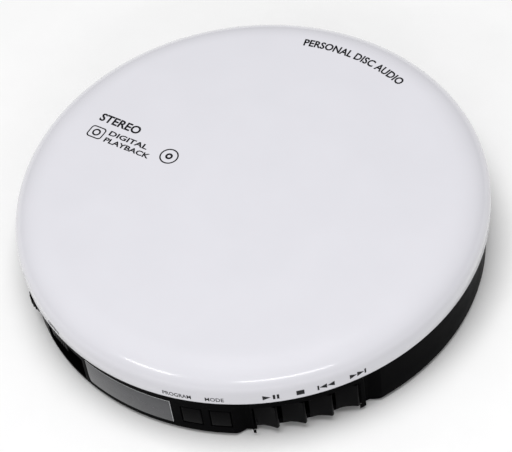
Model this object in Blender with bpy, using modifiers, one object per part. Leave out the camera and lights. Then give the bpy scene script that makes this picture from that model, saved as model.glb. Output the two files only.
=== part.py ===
"""Portable CD player: a round two-part case with a full-width hinged lid, a disc drive on a damped
chassis, a main board, edge keys, a volume dial and a battery bay.

Frame: metres, +Z up, origin under the disc axis on the surface that the feet stand on.
The front, with the display, faces -Y. The lid hinge is at +Y.
"""

import math

import bmesh
import bpy
from mathutils import Vector

MM = 0.001

# Shared fits
GAP = 0.3 * MM                  # clearance between pieces that touch, seat or slide
ROUND_STEPS = 48                # facets round the large turned pieces
SMALL_STEPS = 16                # facets round pins, screws and jacks
PIN_STEPS = 12                  # facets round the smallest rods
OVERCUT = 3.0 * MM              # how far a cutter runs past the face that it opens
SINK = 0.4 * MM                 # how deep a joined rib or post starts inside the piece that carries it

# Disc
DISC_RADIUS = 60.0 * MM

# Lid
LID_RADIUS = 69.0 * MM
LID_WALL = 1.2 * MM
LID_BAND = 4.6 * MM             # upright part of the rim
LID_SHOULDER = 10.5 * MM        # width of the rounded shoulder
LID_RISE = 11.7 * MM            # lower edge to the top of the shoulder
LID_CROWN = 0.7 * MM            # extra height at the middle
LID_LAP = 0.2 * MM              # how far the rim hangs over the case wall
LID_OVERHANG = 1.6 * MM         # how far the rim stands out past the case wall
PANEL_THICKNESS = 1.2 * MM
TAB_THICKNESS = 1.2 * MM        # feet of the hinge arms and of the catch, under the inner panel

# Lower case
FOOT_HEIGHT = 0.8 * MM
CASE_WALL = 1.8 * MM
CASE_FLOOR = 1.6 * MM
CASE_DEPTH = 17.2 * MM
CASE_FILLET = 1.2 * MM
SEAT_DROP = 1.6 * MM            # from the case's top edge down to the thickened seats

# Lid hinge
HINGE_INSET = 6.9 * MM          # from the case's outer face to the hinge axis
HINGE_DROP = 8.5 * MM           # from the case's top edge to the hinge axis
HINGE_X = 14.0 * MM
HINGE_WIDTH = 5.0 * MM
KNUCKLE_RADIUS = 4.8 * MM
TOE_RADIUS = 3.2 * MM           # front of the knuckle, which swings down
ARM_REACH = 13.0 * MM           # how far an arm's foot runs in under the lid
ARM_STEM = 3.3 * MM             # thickness of an arm above its knuckle
PIN_RADIUS = 1.5 * MM
LUG_THICKNESS = 2.1 * MM
LUG_HALF_DEPTH = 2.6 * MM
LUG_RISE = 2.8 * MM             # lug above the hinge axis
LID_SPRING_RADIUS = 2.3 * MM
LID_SPRING_LENGTH = 3.2 * MM

# Disc well
WELL_CLEARANCE = 1.3 * MM       # round the disc's edge
WELL_WALL = 1.5 * MM
WELL_FLOOR = 1.2 * MM
WELL_DROP = 0.6 * MM            # from the case's top edge to the underside of the well floor
WELL_RIM = 4.0 * MM             # well wall above the case's top edge
DISC_ABOVE_WELL = 2.4 * MM
FLANGE_THICKNESS = 1.2 * MM

# Drive
HUB_FLANGE_RADIUS = 15.0 * MM
HUB_FLANGE = 1.0 * MM
HUB_BOSS_RADIUS = 7.3 * MM
HUB_BOSS_HEIGHT = 2.6 * MM
HUB_CLAWS = 3
MOTOR_RADIUS = 11.0 * MM
MOTOR_LENGTH = 9.1 * MM
MOTOR_ROUND = 0.8 * MM
SHAFT_RADIUS = 1.0 * MM
CHASSIS_DROP = 2.4 * MM         # from the well floor to the chassis plate
CHASSIS_THICKNESS = 1.2 * MM
CHASSIS_LEFT = -24.0 * MM
CHASSIS_RIGHT = 58.4 * MM
CHASSIS_HALF_DEPTH = 20.0 * MM
CHASSIS_SLOT_HALF = 13.4 * MM
RAIL_RADIUS = 1.0 * MM
RAIL_Y = 10.5 * MM
RAIL_DROP = 1.8 * MM            # from the chassis plate to the rails' axes
RAIL_LUG = 2.0 * MM             # thickness of the lugs that hold the rails and the screw
RAIL_LUG_RADIUS = 1.9 * MM
SLED_LENGTH = 9.2 * MM
SLED_BEHIND_LENS = 2.0 * MM
TOWER_BEHIND = 4.5 * MM
TOWER_AHEAD = 3.3 * MM
TOWER_HALF_WIDTH = 5.6 * MM
LENS_HOME_X = 23.2 * MM
LENS_RADIUS = 2.4 * MM
LENS_HEIGHT = 1.2 * MM
LENS_DOME = 0.5 * MM
SCREW_RADIUS = 1.2 * MM
SCREW_Y = -15.5 * MM
SCREW_DROP = 5.0 * MM           # from the chassis plate to the feed screw's axis
FEED_MOTOR_RADIUS = 4.5 * MM
FEED_MOTOR_LENGTH = 15.0 * MM
FEED_MOTOR_RIGHT = 7.0 * MM
DAMPER_HEIGHT = 4.9 * MM
DAMPER_RADIUS = 3.0 * MM
DAMPER_WAIST = 2.2 * MM

# Keys
KEY_COUNT = 4
KEY_FIRST_AZ = math.radians(-55.9)
KEY_SPACING = 1.16 * MM         # between two keys, along the wall
KEY_WIDTH = 6.6 * MM
KEY_HEIGHT = 9.8 * MM
KEY_MID_Z = 8.4 * MM
KEY_TRAVEL = 0.8 * MM
KEY_STEP = 1.7 * MM             # how far the proud end of a key stands out of the other
KEY_NOSE = 0.8 * MM             # chamfer on the proud end
KEY_PROUD = 0.5 * MM            # low end of a key in front of the scooped wall
KEY_FLANGE = 1.2 * MM
KEY_LIP = 0.9 * MM              # flange above and below the opening
KEY_SEAT_WALL = 1.6 * MM        # wall left behind the scoop
SMALL_KEY_AZ = {"program_button": math.radians(-73.6), "mode_button": math.radians(-66.6)}
SMALL_KEY_WIDTH = 5.6 * MM
SMALL_KEY_HEIGHT = 7.0 * MM
SCOOP_DEPTH = 2.0 * MM
SCOOP_BEFORE = math.radians(5.3)    # scooped wall before the first key's middle
SCOOP_AFTER = math.radians(6.1)     # scooped wall after the last key's middle
SCOOP_RAMP = math.radians(3.0)
SWITCH_GAP = 1.1 * MM           # from a pressed key to the switch strip
STRIP_THICKNESS = 0.8 * MM
STRIP_RISE = 5.2 * MM           # strip above the keys' middle
DOME_RADIUS = 2.0 * MM

# Display
WINDOW_START = math.radians(-103.7)
WINDOW_END = math.radians(-78.4)
WINDOW_LOW_Z = 3.0 * MM
WINDOW_HIGH_Z = 13.5 * MM
WINDOW_LIP = 1.4 * MM
WINDOW_BACK = 1.3 * MM          # how far the window and its lip reach in past the wall
LCD_THICKNESS = 2.0 * MM
LCD_MARGIN = 0.87 * MM          # window past each end of the panel behind it

# Lid release
LATCH_AZ = math.radians(-113.2)
RECESS_HALF_WIDTH = 9.8 * MM
RECESS_LOW_Z = 2.8 * MM
RECESS_HIGH_Z = 11.8 * MM
RECESS_DEPTH = 3.8 * MM
RECESS_WALL = 1.4 * MM
KNOB_WIDTH = 9.0 * MM
KNOB_HEIGHT = 5.4 * MM
KNOB_SET_BACK = 0.9 * MM        # knob's face behind the case wall
STEM_LEFT = -6.8 * MM
STEM_RIGHT = -3.9 * MM
STEM_HALF_HEIGHT = 1.0 * MM
SLIDER_TRAVEL = 5.0 * MM
SLIDER_THICKNESS = 1.2 * MM
SLIDER_RIGHT = 4.4 * MM
SLIDER_DROP = 1.6 * MM          # from the case's top edge to the top of the slider
CLAW_HEIGHT = 1.1 * MM
CLAW_REACH = 0.8 * MM           # how far the claw overlaps the catch, seen from above
CATCH_INSET = 3.8 * MM          # from the case's outer face to the catch's inner face
CATCH_WIDTH = 5.0 * MM
CATCH_FOOT = 12.0 * MM
CATCH_DROP = 3.8 * MM           # catch's end below the case's top edge
CATCH_NOTCH = 1.7 * MM

# Volume dial
DIAL_AZ = math.radians(-130.0)
DIAL_RADIUS = 8.0 * MM
DIAL_THICKNESS = 2.4 * MM
DIAL_PROUD = 1.8 * MM
DIAL_Z = 9.1 * MM
DIAL_TEETH = 24
DIAL_TOOTH = 0.35 * MM
DIAL_BORE = 1.4 * MM
DIAL_ROOM = 0.4 * MM            # clearance round the dial in its slot
CONTROL_RADIUS = 3.2 * MM

# Jacks
HEADPHONE_AZ = math.radians(-150.0)
POWER_AZ = math.radians(172.0)
JACK_Z = 9.2 * MM
JACK_LENGTH = 13.0 * MM
JACK_HALF_WIDTH = 4.0 * MM
JACK_RISE = 3.4 * MM
HEADPHONE_COLLAR = 3.0 * MM
HEADPHONE_HOLE = 1.8 * MM
POWER_COLLAR = 3.4 * MM
POWER_HOLE = 2.75 * MM
POWER_PIN = 0.7 * MM

# Batteries: two cells side by side across the rear
CELL_DIAMETER = 14.5 * MM
CELL_LENGTH = 50.5 * MM
CELL_ROOM = 0.25 * MM           # round each cell
CELL_END_ROOM = 3.25 * MM       # at each end, for the springs and contacts
BAY_FRONT_Y = 22.8 * MM
BAY_WALL = 1.2 * MM
DOOR_THICKNESS = 1.3 * MM
DOOR_TRAVEL = 4.0 * MM
DOOR_MARGIN = 0.8 * MM          # floor left inside the ends of the bay, which the door's hooks grip
HOOK_HALF_LENGTH = 2.0 * MM
HOOK_THICKNESS = 0.7 * MM
HOOK_REACH = 0.5 * MM           # hook past the edge of the opening
BATTERY_WIRE = 0.35 * MM
BATTERY_SPRING_RADIUS = 4.6 * MM
BATTERY_SPRING_LENGTH = 2.6 * MM
CONTACT_HALF = 4.5 * MM
CONTACT_THICKNESS = 0.5 * MM

# Boards and small parts
BOARD_THICKNESS = 1.2 * MM
BOARD_ABOVE_FLOOR = 2.2 * MM
BOARD_WING = 6.0 * MM           # board left of the chassis
BOARD_WING_TOP = math.radians(160)
FOOT_RADIUS = 4.0 * MM
FOOT_INSET = 11.4 * MM          # from the case's outer face to the middle of a foot
FOOT_SINK = 0.4 * MM
SCREW_HEAD_RADIUS = 2.0 * MM
SCREW_HEAD = 1.1 * MM
SCREW_HEAD_SINK = 2.0 * MM
SCREW_SHANK_RADIUS = 0.9 * MM
POST_RADIUS = 2.6 * MM
POST_DROP = 4.8 * MM            # from the case's top edge to the top of a screw post
NUB_INSET = 3.2 * MM            # from the case's outer face to the lid's nub
NUB_AZ = math.radians(196)
NUB_RADIUS = 1.1 * MM
SWITCH_DROP = 3.6 * MM          # from the well floor to the top of the lid switch
PLUNGER_RADIUS = 1.0 * MM

# Worked out from the sizes above
CASE_RADIUS = LID_RADIUS - LID_OVERHANG
CASE_INNER = CASE_RADIUS - CASE_WALL
CASE_BOTTOM_Z = FOOT_HEIGHT
CASE_FLOOR_TOP = CASE_BOTTOM_Z + CASE_FLOOR
CASE_TOP_Z = CASE_BOTTOM_Z + CASE_DEPTH
INSIDE_Z = CASE_FLOOR_TOP - SINK
LID_EDGE_Z = CASE_TOP_Z - LID_LAP
LID_DROP = LID_WALL * 1.25      # wall thickness where the crown is shallow
PANEL_TOP_Z = LID_EDGE_Z + LID_RISE - LID_DROP - 0.4 * MM
UNDER_PANEL_Z = PANEL_TOP_Z - PANEL_THICKNESS - GAP
HINGE_Y = CASE_RADIUS - HINGE_INSET
HINGE_Z = CASE_TOP_Z - HINGE_DROP
WELL_RADIUS = DISC_RADIUS + WELL_CLEARANCE
WELL_OUTER = WELL_RADIUS + WELL_WALL
WELL_FLOOR_Z = CASE_TOP_Z - WELL_DROP
WELL_FLOOR_TOP = WELL_FLOOR_Z + WELL_FLOOR
WELL_RIM_Z = CASE_TOP_Z + WELL_RIM
FLANGE_Z = CASE_TOP_Z + GAP
DISC_REST_Z = WELL_FLOOR_TOP + DISC_ABOVE_WELL
CHASSIS_Z = WELL_FLOOR_Z - CHASSIS_DROP
RAIL_Z = CHASSIS_Z - RAIL_DROP
SCREW_Z = CHASSIS_Z - SCREW_DROP
DAMPER_SEAT_Z = CHASSIS_Z - DAMPER_HEIGHT - GAP
POST_TOP_Z = CASE_TOP_Z - POST_DROP
LCD_HALF_WIDTH = CASE_INNER * math.sin((WINDOW_END - WINDOW_START) / 2) - LCD_MARGIN
KEY_PITCH = (KEY_WIDTH + KEY_SPACING) / CASE_RADIUS
KEY_AZIMUTHS = [KEY_FIRST_AZ + i * KEY_PITCH for i in range(KEY_COUNT)]
SCOOP_START = KEY_AZIMUTHS[0] - SCOOP_BEFORE
SCOOP_END = KEY_AZIMUTHS[-1] + SCOOP_AFTER
KEY_SEAT_RADIUS = CASE_RADIUS - SCOOP_DEPTH - KEY_SEAT_WALL
KEY_BACK = KEY_SEAT_RADIUS - GAP - KEY_FLANGE
SWITCH_FACE = KEY_BACK - KEY_TRAVEL - SWITCH_GAP
RECESS_BACK = CASE_RADIUS - RECESS_DEPTH
SLIDER_OUTER = RECESS_BACK - RECESS_WALL - GAP
SLIDER_LEFT = STEM_LEFT - 1.0 * MM
SLIDER_TOP_Z = CASE_TOP_Z - SLIDER_DROP
STEM_Z = (RECESS_LOW_Z + RECESS_HIGH_Z) / 2
CATCH_INNER = CASE_RADIUS - CATCH_INSET
BOARD_Z = CASE_FLOOR_TOP + BOARD_ABOVE_FLOOR
BOARD_TOP = BOARD_Z + BOARD_THICKNESS
BOARD_RADIUS = KEY_BACK - KEY_TRAVEL - 2 * GAP
BAY_HALF_LENGTH = CELL_LENGTH / 2 + CELL_END_ROOM
BAY_REAR_Y = BAY_FRONT_Y + 2 * (CELL_DIAMETER + CELL_ROOM)
BAY_TOP_Z = WELL_FLOOR_Z - 0.5 * MM
SCREW_SPOTS = [(x * MM, y * MM) for x, y in ((40, 40), (-40, 40), (-27, -47), (33, -40))]
FOOT_AZIMUTHS = [math.radians(azimuth) for azimuth in (35, 145, 218, 322)]
DAMPER_SPOTS = [(x * MM, y * MM) for x, y in ((-20, -17), (-20, 17), (48, 16.7))]


# Collections, materials and building helpers

for old in list(bpy.data.objects):
    bpy.data.objects.remove(old, do_unlink=True)

parts = bpy.data.collections.new("portable_cd_player")
cutters = bpy.data.collections.new("cutters")
bpy.context.scene.collection.children.link(parts)
bpy.context.scene.collection.children.link(cutters)


def finish(name, colour, roughness, metallic=0.0):
    """A Principled material for one kind of piece."""
    made = bpy.data.materials.new(name)
    made.use_nodes = True
    shader = made.node_tree.nodes["Principled BSDF"]
    shader.inputs["Base Color"].default_value = (*colour, 1.0)
    shader.inputs["Roughness"].default_value = roughness
    shader.inputs["Metallic"].default_value = metallic
    return made


WHITE = finish("white_gloss", (0.80, 0.80, 0.82), 0.15)
BLACK = finish("black_satin", (0.012, 0.012, 0.014), 0.35)
BLACK_KEY = finish("black_key", (0.015, 0.015, 0.017), 0.30)
SMOKE = finish("smoked_window", (0.10, 0.10, 0.105), 0.12)
DARK_GREY = finish("deck_grey", (0.05, 0.05, 0.055), 0.45)
LCD_GLASS = finish("lcd_glass", (0.35, 0.38, 0.34), 0.20)
STEEL = finish("steel", (0.55, 0.55, 0.57), 0.30, 1.0)
BRIGHT = finish("bright_contact", (0.70, 0.68, 0.62), 0.25, 1.0)
RUBBER = finish("black_rubber", (0.02, 0.02, 0.02), 0.85)
BOARD = finish("circuit_board", (0.03, 0.16, 0.07), 0.45)
CHIP = finish("chip_black", (0.02, 0.02, 0.022), 0.55)
AMBER = finish("flex_amber", (0.45, 0.20, 0.04), 0.40)
LENS_GLASS = finish("lens_glass", (0.15, 0.20, 0.35), 0.05)


def place(name, mesh, material=None):
    """Puts a mesh in the model, or among the cutters when it has no material."""
    made = bpy.data.objects.new(name, mesh)
    if material is None:
        cutters.objects.link(made)
        made.hide_render = True
        made.display_type = "WIRE"
        return made
    mesh.materials.append(material)
    parts.objects.link(made)
    mesh.shade_smooth()
    mesh.set_sharp_from_angle(angle=math.radians(30))
    return made


def box(name, low, high, material=None):
    """An upright box between two corners."""
    mesh = bpy.data.meshes.new(name)
    shape = bmesh.new()
    bmesh.ops.create_cube(shape, size=1.0)
    size = Vector(high) - Vector(low)
    bmesh.ops.scale(shape, vec=size, verts=shape.verts)
    bmesh.ops.translate(shape, vec=Vector(low) + size / 2, verts=shape.verts)
    shape.to_mesh(mesh)
    shape.free()
    return place(name, mesh, material)


def radial_box(name, azimuth, radial, across, height, material=None):
    """A box that faces out along an azimuth; each size is a (low, high) pair."""
    low, high = zip(radial, across, height)
    made = box(name, low, high, material)
    made.rotation_euler.z = azimuth
    return made


def rod(name, start, end, radius, material=None, end_radius=None, steps=SMALL_STEPS):
    """A round bar or taper between two points."""
    axis = Vector(end) - Vector(start)
    mesh = bpy.data.meshes.new(name)
    shape = bmesh.new()
    bmesh.ops.create_cone(shape, cap_ends=True, segments=steps, radius1=radius,
                          radius2=radius if end_radius is None else end_radius, depth=axis.length)
    shape.to_mesh(mesh)
    shape.free()
    made = place(name, mesh, material)
    made.location = Vector(start) + axis / 2
    made.rotation_euler = axis.to_track_quat("Z", "Y").to_euler()
    return made


def turned(name, profile, material=None, steps=ROUND_STEPS, closed=False):
    """A turned piece from (radius, height) points that run down its outer side."""
    mesh = bpy.data.meshes.new(name)
    count = len(profile)
    edges = [(i, (i + 1) % count) for i in range(count if closed else count - 1)]
    mesh.from_pydata([(radius, 0.0, height) for radius, height in profile], edges, [])
    made = place(name, mesh, material)
    spin = made.modifiers.new("spin", "SCREW")
    spin.axis = "Z"
    spin.angle = math.tau
    spin.steps = steps
    spin.render_steps = steps
    spin.use_merge_vertices = True
    spin.merge_threshold = 0.00001
    spin.use_smooth_shade = True
    return made


def plate(name, outlines, low, high, material=None):
    """A flat piece of the given outlines, from height low to height high; inner outlines are holes."""
    curve = bpy.data.curves.new(name + "_outline", "CURVE")
    curve.dimensions = "2D"
    curve.fill_mode = "BOTH"
    curve.extrude = (high - low) / 2
    for outline in outlines:
        spline = curve.splines.new("POLY")
        spline.points.add(len(outline) - 1)
        for point, (x, y) in zip(spline.points, outline):
            point.co = (x, y, 0.0, 1.0)
        spline.use_cyclic_u = True
    flat = bpy.data.objects.new(name + "_outline", curve)
    bpy.context.scene.collection.objects.link(flat)
    bpy.context.view_layer.update()
    mesh = bpy.data.meshes.new_from_object(flat.evaluated_get(bpy.context.evaluated_depsgraph_get()))
    mesh.name = name
    bpy.data.objects.remove(flat)
    shape = bmesh.new()
    shape.from_mesh(mesh)
    bmesh.ops.remove_doubles(shape, verts=shape.verts, dist=0.000001)
    shape.to_mesh(mesh)
    shape.free()
    mesh.materials.clear()
    made = place(name, mesh, material)
    made.location.z = (low + high) / 2
    return made


def coil(name, turns, radius, end_radius, length, wire, material):
    """A round-wire spring along +Z from its own origin."""
    curve = bpy.data.curves.new(name, "CURVE")
    curve.dimensions = "3D"
    curve.bevel_depth = wire
    curve.bevel_resolution = 1
    curve.use_fill_caps = True
    spline = curve.splines.new("POLY")
    steps = int(turns * 10)
    spline.points.add(steps)
    for i, point in enumerate(spline.points):
        share = i / steps
        turn = share * turns * math.tau
        reach = radius + (end_radius - radius) * share
        point.co = (reach * math.cos(turn), reach * math.sin(turn), share * length, 1.0)
    made = bpy.data.objects.new(name, curve)
    curve.materials.append(material)
    parts.objects.link(made)
    return made


def boolean(target, tool, operation):
    step = target.modifiers.new(tool.name, "BOOLEAN")
    step.operation = operation
    step.solver = "EXACT"
    step.object = tool


def cut(target, *tools):
    for tool in tools:
        boolean(target, tool, "DIFFERENCE")


def join(target, *tools):
    for tool in tools:
        boolean(target, tool, "UNION")


def arc(radius, start, end, count):
    """Points on an arc about the disc axis, both ends included."""
    angles = [start + (end - start) * i / (count - 1) for i in range(count)]
    return [(radius * math.cos(angle), radius * math.sin(angle)) for angle in angles]


def circle(radius, count, centre=(0.0, 0.0)):
    angles = [math.tau * i / count for i in range(count)]
    return [(centre[0] + radius * math.cos(a), centre[1] + radius * math.sin(a)) for a in angles]


def rectangle(left, front, right, rear):
    return [(left, front), (right, front), (right, rear), (left, rear)]


def curved_plate(name, inner, outer, start, end, low, high, material=None, count=9):
    """A piece of cylinder wall about the disc axis."""
    outline = arc(outer, start, end, count) + arc(inner, end, start, count)
    return plate(name, [outline], low, high, material)


def polar(radius, azimuth, height=0.0):
    return Vector((radius * math.cos(azimuth), radius * math.sin(azimuth), height))


# Lower case: cup, thickened seats for keys and latch, hinge lugs, battery bay, posts

def lower_case():
    fillet = [(CASE_RADIUS - CASE_FILLET * (1 - math.cos(a)), CASE_BOTTOM_Z + CASE_FILLET * (1 - math.sin(a)))
              for a in (0.0, math.pi / 6, math.pi / 3, math.pi / 2)]
    profile = [(0.0, CASE_FLOOR_TOP), (CASE_INNER, CASE_FLOOR_TOP), (CASE_INNER, CASE_TOP_Z),
               (CASE_RADIUS, CASE_TOP_Z)] + fillet + [(0.0, CASE_BOTTOM_Z)]
    case = turned("lower_case", profile, BLACK)
    join(case, curved_plate("key_seat", KEY_SEAT_RADIUS, CASE_INNER + CASE_WALL / 3,
                            WINDOW_END + math.radians(1.6), SCOOP_END + 2 * SCOOP_RAMP,
                            INSIDE_Z, CASE_TOP_Z - SEAT_DROP, count=17))
    seat_margin = 1.5 * MM
    join(case, radial_box("latch_seat", LATCH_AZ, (RECESS_BACK - RECESS_WALL, CASE_INNER),
                          (-RECESS_HALF_WIDTH - seat_margin, RECESS_HALF_WIDTH + seat_margin),
                          (INSIDE_Z, RECESS_HIGH_Z + seat_margin)))
    for side in (-1, 1):
        for offset in (-1, 1):
            centre = side * HINGE_X + offset * (HINGE_WIDTH / 2 + GAP + 0.1 * MM + LUG_THICKNESS / 2)
            join(case, box("hinge_lug", (centre - LUG_THICKNESS / 2, HINGE_Y - LUG_HALF_DEPTH, INSIDE_Z),
                           (centre + LUG_THICKNESS / 2, HINGE_Y + LUG_HALF_DEPTH, HINGE_Z + LUG_RISE)))
    join(case, plate("bay_walls", [rectangle(-BAY_HALF_LENGTH - BAY_WALL, BAY_FRONT_Y - BAY_WALL,
                                             BAY_HALF_LENGTH + BAY_WALL, BAY_REAR_Y + BAY_WALL),
                                   rectangle(-BAY_HALF_LENGTH, BAY_FRONT_Y, BAY_HALF_LENGTH, BAY_REAR_Y)],
                     INSIDE_Z, BAY_TOP_Z))
    for x, y in SCREW_SPOTS:
        join(case, rod("screw_post", (x, y, INSIDE_Z), (x, y, POST_TOP_Z), POST_RADIUS))
    for x, y in DAMPER_SPOTS:
        join(case, rod("damper_post", (x, y, INSIDE_Z), (x, y, DAMPER_SEAT_Z), DAMPER_WAIST))
    wall_openings(case)
    floor_openings(case)


def wall_openings(case):
    """Scoop, slots and holes through the round wall."""
    beyond = CASE_RADIUS + OVERCUT
    scoop = (arc(CASE_RADIUS - SCOOP_DEPTH, SCOOP_START, SCOOP_END, 14)
             + [tuple(polar(beyond, SCOOP_END + 2 * SCOOP_RAMP)[:2])]
             + [tuple(polar(beyond, SCOOP_START - 2 * SCOOP_RAMP)[:2])])
    cut(case, plate("scoop", [scoop], -OVERCUT, CASE_TOP_Z - 1.5 * MM))
    side = (KEY_WIDTH / 2 + GAP) / KEY_SEAT_RADIUS
    key_half, small_half = KEY_HEIGHT / 2 + GAP, SMALL_KEY_HEIGHT / 2 + GAP
    cut(case, curved_plate("key_slot", KEY_SEAT_RADIUS - OVERCUT, beyond, KEY_AZIMUTHS[0] - side,
                           KEY_AZIMUTHS[-1] + side, KEY_MID_Z - key_half, KEY_MID_Z + key_half))
    for azimuth in SMALL_KEY_AZ.values():
        cut(case, radial_box("small_key_opening", azimuth, (KEY_SEAT_RADIUS - OVERCUT, beyond),
                             (-SMALL_KEY_WIDTH / 2 - GAP, SMALL_KEY_WIDTH / 2 + GAP),
                             (KEY_MID_Z - small_half, KEY_MID_Z + small_half)))
    cut(case, curved_plate("window_opening", CASE_INNER - OVERCUT, beyond, WINDOW_START, WINDOW_END,
                           WINDOW_LOW_Z, WINDOW_HIGH_Z))
    cut(case, radial_box("recess", LATCH_AZ, (RECESS_BACK, beyond), (-RECESS_HALF_WIDTH, RECESS_HALF_WIDTH),
                         (RECESS_LOW_Z, RECESS_HIGH_Z)))
    cut(case, radial_box("stem_slot", LATCH_AZ, (RECESS_BACK - OVERCUT, RECESS_BACK + OVERCUT),
                         (STEM_LEFT - 2 * GAP, STEM_RIGHT + SLIDER_TRAVEL + 2 * GAP),
                         (STEM_Z - STEM_HALF_HEIGHT - GAP, STEM_Z + STEM_HALF_HEIGHT + GAP)))
    dial_at = dial_centre()
    dial_slot = Vector((0, 0, DIAL_THICKNESS / 2 + DIAL_ROOM))
    cut(case, rod("dial_slot", dial_at - dial_slot, dial_at + dial_slot, DIAL_RADIUS + DIAL_ROOM, steps=32))
    for azimuth, radius in ((HEADPHONE_AZ, HEADPHONE_COLLAR), (POWER_AZ, POWER_COLLAR)):
        cut(case, rod("jack_hole", polar(CASE_INNER - OVERCUT, azimuth, JACK_Z),
                      polar(beyond, azimuth, JACK_Z), radius + GAP))
    pin_reach = HINGE_WIDTH / 2 + LUG_THICKNESS + OVERCUT
    for side in (-1, 1):
        for notch in hinge_notch(side):
            cut(case, notch)
        cut(case, rod("pin_hole", (side * HINGE_X - pin_reach, HINGE_Y, HINGE_Z),
                      (side * HINGE_X + pin_reach, HINGE_Y, HINGE_Z), PIN_RADIUS + GAP))


def floor_openings(case):
    """Door opening with its two hook notches, screw holes and foot sinks."""
    left, front, right, rear = door_opening()
    cut(case, box("door_hole", (left, front, -OVERCUT), (right, rear, CASE_FLOOR_TOP + 0.05 * MM)))
    hook_start = hook_y() - DOOR_TRAVEL
    for side in (-1, 1):
        near, far = sorted((side * (right - 0.2 * MM), side * (right + HOOK_REACH + 0.2 * MM)))
        cut(case, box("hook_notch", (near, hook_start - HOOK_HALF_LENGTH - GAP, -OVERCUT),
                      (far, hook_start + HOOK_HALF_LENGTH + GAP, CASE_FLOOR_TOP + GAP + HOOK_THICKNESS)))
    for x, y in SCREW_SPOTS:
        cut(case, rod("screw_hole", (x, y, -OVERCUT), (x, y, CASE_TOP_Z), SCREW_SHANK_RADIUS + GAP))
        cut(case, rod("head_sink", (x, y, -OVERCUT), (x, y, CASE_BOTTOM_Z + SCREW_HEAD_SINK),
                      SCREW_HEAD_RADIUS + GAP))
    for azimuth in FOOT_AZIMUTHS:
        at = foot_centre(azimuth)
        cut(case, rod("foot_sink", (at.x, at.y, -OVERCUT), (at.x, at.y, CASE_BOTTOM_Z + FOOT_SINK),
                      FOOT_RADIUS + GAP))


def hinge_notch(side):
    """Cutters that give one lid arm room to swing back through the wall."""
    left = side * HINGE_X - HINGE_WIDTH / 2 - GAP
    right = side * HINGE_X + HINGE_WIDTH / 2 + GAP
    sweep = KNUCKLE_RADIUS + GAP
    far, top = CASE_RADIUS + OVERCUT, CASE_TOP_Z + OVERCUT
    return [box("arm_notch", (left, HINGE_Y - 3 * GAP, HINGE_Z), (right, far, top)),
            box("arm_swing", (left, HINGE_Y + 0.1 * MM, HINGE_Z - sweep), (right, far, top)),
            rod("knuckle_room", (left, HINGE_Y, HINGE_Z), (right, HINGE_Y, HINGE_Z), sweep, steps=32)]


def foot_centre(azimuth):
    return polar(CASE_RADIUS - FOOT_INSET, azimuth)


# Upper cabinet: disc well, deck and flange that closes the case

def upper_cabinet():
    step = 0.2 * MM
    flange_top = FLANGE_Z + FLANGE_THICKNESS
    profile = [(0.0, WELL_FLOOR_TOP), (WELL_RADIUS, WELL_FLOOR_TOP), (WELL_RADIUS, WELL_RIM_Z),
               (WELL_OUTER, WELL_RIM_Z), (WELL_OUTER, flange_top), (CASE_RADIUS, flange_top),
               (CASE_RADIUS, FLANGE_Z), (WELL_OUTER + step, FLANGE_Z), (WELL_OUTER + step, WELL_FLOOR_Z),
               (0.0, WELL_FLOOR_Z)]
    cabinet = turned("upper_cabinet", profile, DARK_GREY)
    for x, y in SCREW_SPOTS:
        join(cabinet, rod("boss", (x, y, POST_TOP_Z + GAP), (x, y, WELL_FLOOR_TOP - SINK), POST_RADIUS))
    low, high = WELL_FLOOR_Z - OVERCUT, WELL_FLOOR_TOP + OVERCUT
    cut(cabinet, rod("hub_opening", (0, 0, low), (0, 0, high), HUB_FLANGE_RADIUS + 5 * GAP, steps=48))
    sled_half = TOWER_HALF_WIDTH + 0.8 * MM
    cut(cabinet, box("sled_opening", (0, -sled_half, low), (WELL_RADIUS - SINK, sled_half, high)))
    over_rim = WELL_RIM_Z + OVERCUT
    for side in (-1, 1):
        left = side * HINGE_X - HINGE_WIDTH / 2 - GAP
        cut(cabinet, box("arm_notch", (left, HINGE_Y - 3 * GAP, low),
                         (left + HINGE_WIDTH + 2 * GAP, CASE_RADIUS + OVERCUT, over_rim)))
    catch_side = CATCH_WIDTH / 2 + 0.8 * MM
    cut(cabinet, radial_box("catch_slot", LATCH_AZ, (CATCH_INNER - 0.8 * MM, CATCH_INNER + 2 * TAB_THICKNESS),
                            (-catch_side, catch_side), (low, over_rim)))
    at = lid_nub()
    cut(cabinet, rod("nub_hole", (at.x, at.y, low), (at.x, at.y, over_rim), NUB_RADIUS + 0.8 * MM))
    for x, y in SCREW_SPOTS:
        cut(cabinet, rod("pilot", (x, y, POST_TOP_Z - 4 * GAP), (x, y, screw_tip() + 2 * GAP),
                         SCREW_SHANK_RADIUS + GAP))


def screw_tip():
    return WELL_FLOOR_Z - 1.4 * MM


# Lid: outer shell, inner panel, two hinge arms, catch

def shoulder(wall):
    """Lid profile points from the middle of the crown down to the end of the shoulder, set in by a wall."""
    middle = LID_RADIUS - LID_SHOULDER
    drop = wall * LID_DROP / LID_WALL
    crown = [(middle * share, LID_EDGE_Z + LID_RISE + LID_CROWN * (1 - share ** 2) - drop)
             for share in (0.0, 0.45, 0.8)]
    steps = 6
    turn = [math.pi / 2 * (1 - i / steps) for i in range(steps + 1)]
    round_part = [(middle + (LID_SHOULDER - wall) * math.cos(a),
                   LID_EDGE_Z + LID_BAND + (LID_RISE - LID_BAND - drop) * math.sin(a)) for a in turn]
    return crown + round_part


def lid_nub():
    """Place of the nub on the lid that works the lid switch."""
    return polar(CASE_RADIUS - NUB_INSET, NUB_AZ)


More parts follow.
